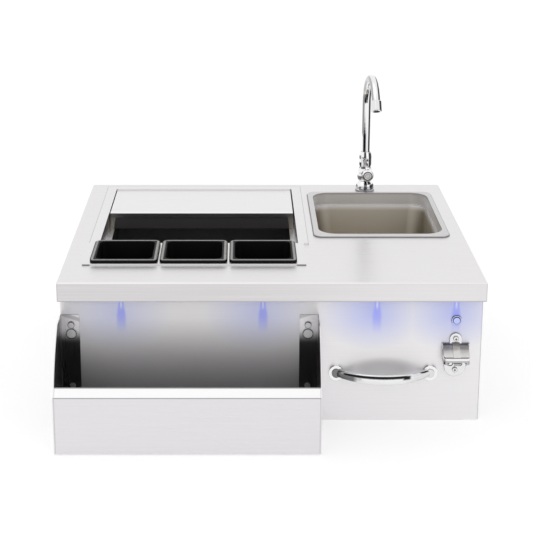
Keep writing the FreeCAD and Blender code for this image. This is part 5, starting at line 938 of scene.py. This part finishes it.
# Painted dark reflections on the ring and the pressed part, and painted shade on the ring's upper faces.
finish_nodes(["button_bezel"], polished_chrome("button metal", (0.56, 0.60, 0.86), (0.02, 0.02, 0.03), 0.12,
                                               ((-0.99, -0.60),), ((0.30, 1.00),)))
finish_nodes(["push_button"], polished_chrome("button face", (0.50, 0.56, 0.88), (0.10, 0.13, 0.40), 0.10,
                                              ((-0.95, -0.5), (0.5, 0.95)), ((0.3, 0.95),)))
button_low, button_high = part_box("push_button")
bezel_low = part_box("button_bezel")[0]
button_place = Vector(((button_low.x + button_high.x) / 2, bezel_low.y, (button_low.z + button_high.z) / 2))


def gap_tone(tree, links, tone):
    """Painted shade and light: the gap is black in its upper part and painted with blue light lower down."""
    _, _, z = parts_of(tree, links)
    upper = ranged(tree, links, z, button_place.z + 1 * MM, button_place.z + 4 * MM, 1.0, 0.0)
    return mixed(tree, links, upper, tone, (0.26, 0.30, 0.55))


button_shadow = moulded_plastic("button gap", (0.022, 0.022, 0.024), 0.5, 500.0, 0.00005, 0.3, gap_tone)
mesh = bmesh.new()
square_ring(mesh, 6.6 * MM, 7.5 * MM, -0.5 * MM, 0.1 * MM)
turn_to(mesh, button_place, (0.0, -1.0, 0.0))
new_piece("button_gap", mesh, button_shadow, "frame", smooth=False)

# ------------------------------------------------------------------------------------ studio and camera
# A white floor that keeps a soft shadow, a white surround, two large soft lamps, and a camera that looks
# down on the counter from the user's side.

floor_mesh = bmesh.new()
bmesh.ops.create_grid(floor_mesh, x_segments=1, y_segments=1, size=30.0)
floor_data = bpy.data.meshes.new("floor")
floor_mesh.to_mesh(floor_data)
floor_mesh.free()
floor = bpy.data.objects.new("floor", floor_data)
bpy.context.scene.collection.objects.link(floor)
floor.location = (0.0, 0.0, cad_low.z - 0.5 * MM)


def seen_directly(tree, links):
    """1 for what the camera, a mirror or glass sees, and 0 for the light that falls on matt skins."""
    rays = tree.new("ShaderNodeLightPath")
    return strongest(tree, links, rays.outputs["Is Camera Ray"], rays.outputs["Is Glossy Ray"],
                     rays.outputs["Is Transmission Ray"])


white, tree, links, shader = new_material("white floor")
tree.remove(shader)
matt = tree.new("ShaderNodeBsdfDiffuse")
matt.inputs["Color"].default_value = (0.80, 0.80, 0.80, 1.0)
lift = tree.new("ShaderNodeEmission")
links.new(product(tree, links, seen_directly(tree, links), 0.44), lift.inputs["Strength"])
both = tree.new("ShaderNodeAddShader")
links.new(matt.outputs["BSDF"], both.inputs[0])
links.new(lift.outputs["Emission"], both.inputs[1])
links.new(both.outputs["Shader"], tree["Material Output"].inputs["Surface"])
floor_data.materials.append(white)

world = bpy.data.worlds.new("white room")
bpy.context.scene.world = world
world.use_nodes = True
tree, links = world.node_tree.nodes, world.node_tree.links
links.new(ranged(tree, links, seen_directly(tree, links), 0.0, 1.0, 0.72, 1.0),
          tree["Background"].inputs["Strength"])
tree["Background"].inputs["Color"].default_value = (1.0, 1.0, 1.0, 1.0)


def soft_lamp(name, place, size, power):
    """A square lamp that faces the object."""
    light = bpy.data.lights.new(name, "AREA")
    light.energy = power
    light.size = size
    lamp = bpy.data.objects.new(name, light)
    bpy.context.scene.collection.objects.link(lamp)
    lamp.location = place
    lamp.rotation_mode = "QUATERNION"
    lamp.rotation_quaternion = (Vector((0.0, 0.0, 0.25)) - Vector(place)).to_track_quat("-Z", "Y")


soft_lamp("lamp over the counter", (-0.5, -0.4, 2.6), 2.4, 4.0)
soft_lamp("lamp at the front", (1.6, -2.6, 1.6), 1.8, 2.0)

PHOTO_PIXELS = 533
FOCAL_PIXELS = 1450.6
CAMERA_TILT = 16.0
camera_data = bpy.data.cameras.new("camera")
camera_data.sensor_width = 36.0
camera_data.lens = FOCAL_PIXELS / PHOTO_PIXELS * camera_data.sensor_width
camera_data.shift_x = 0.0463
camera_data.shift_y = -0.1034
camera_data.clip_start = 0.05
camera_data.clip_end = 100.0
camera = bpy.data.objects.new("camera", camera_data)
bpy.context.scene.collection.objects.link(camera)
camera.location = (-0.0532, -2.7578, 1.1003)
camera.rotation_euler = (math.radians(90.0 - CAMERA_TILT), 0.0, 0.0)
bpy.context.scene.camera = camera
bpy.context.scene.view_settings.view_transform = "Standard"
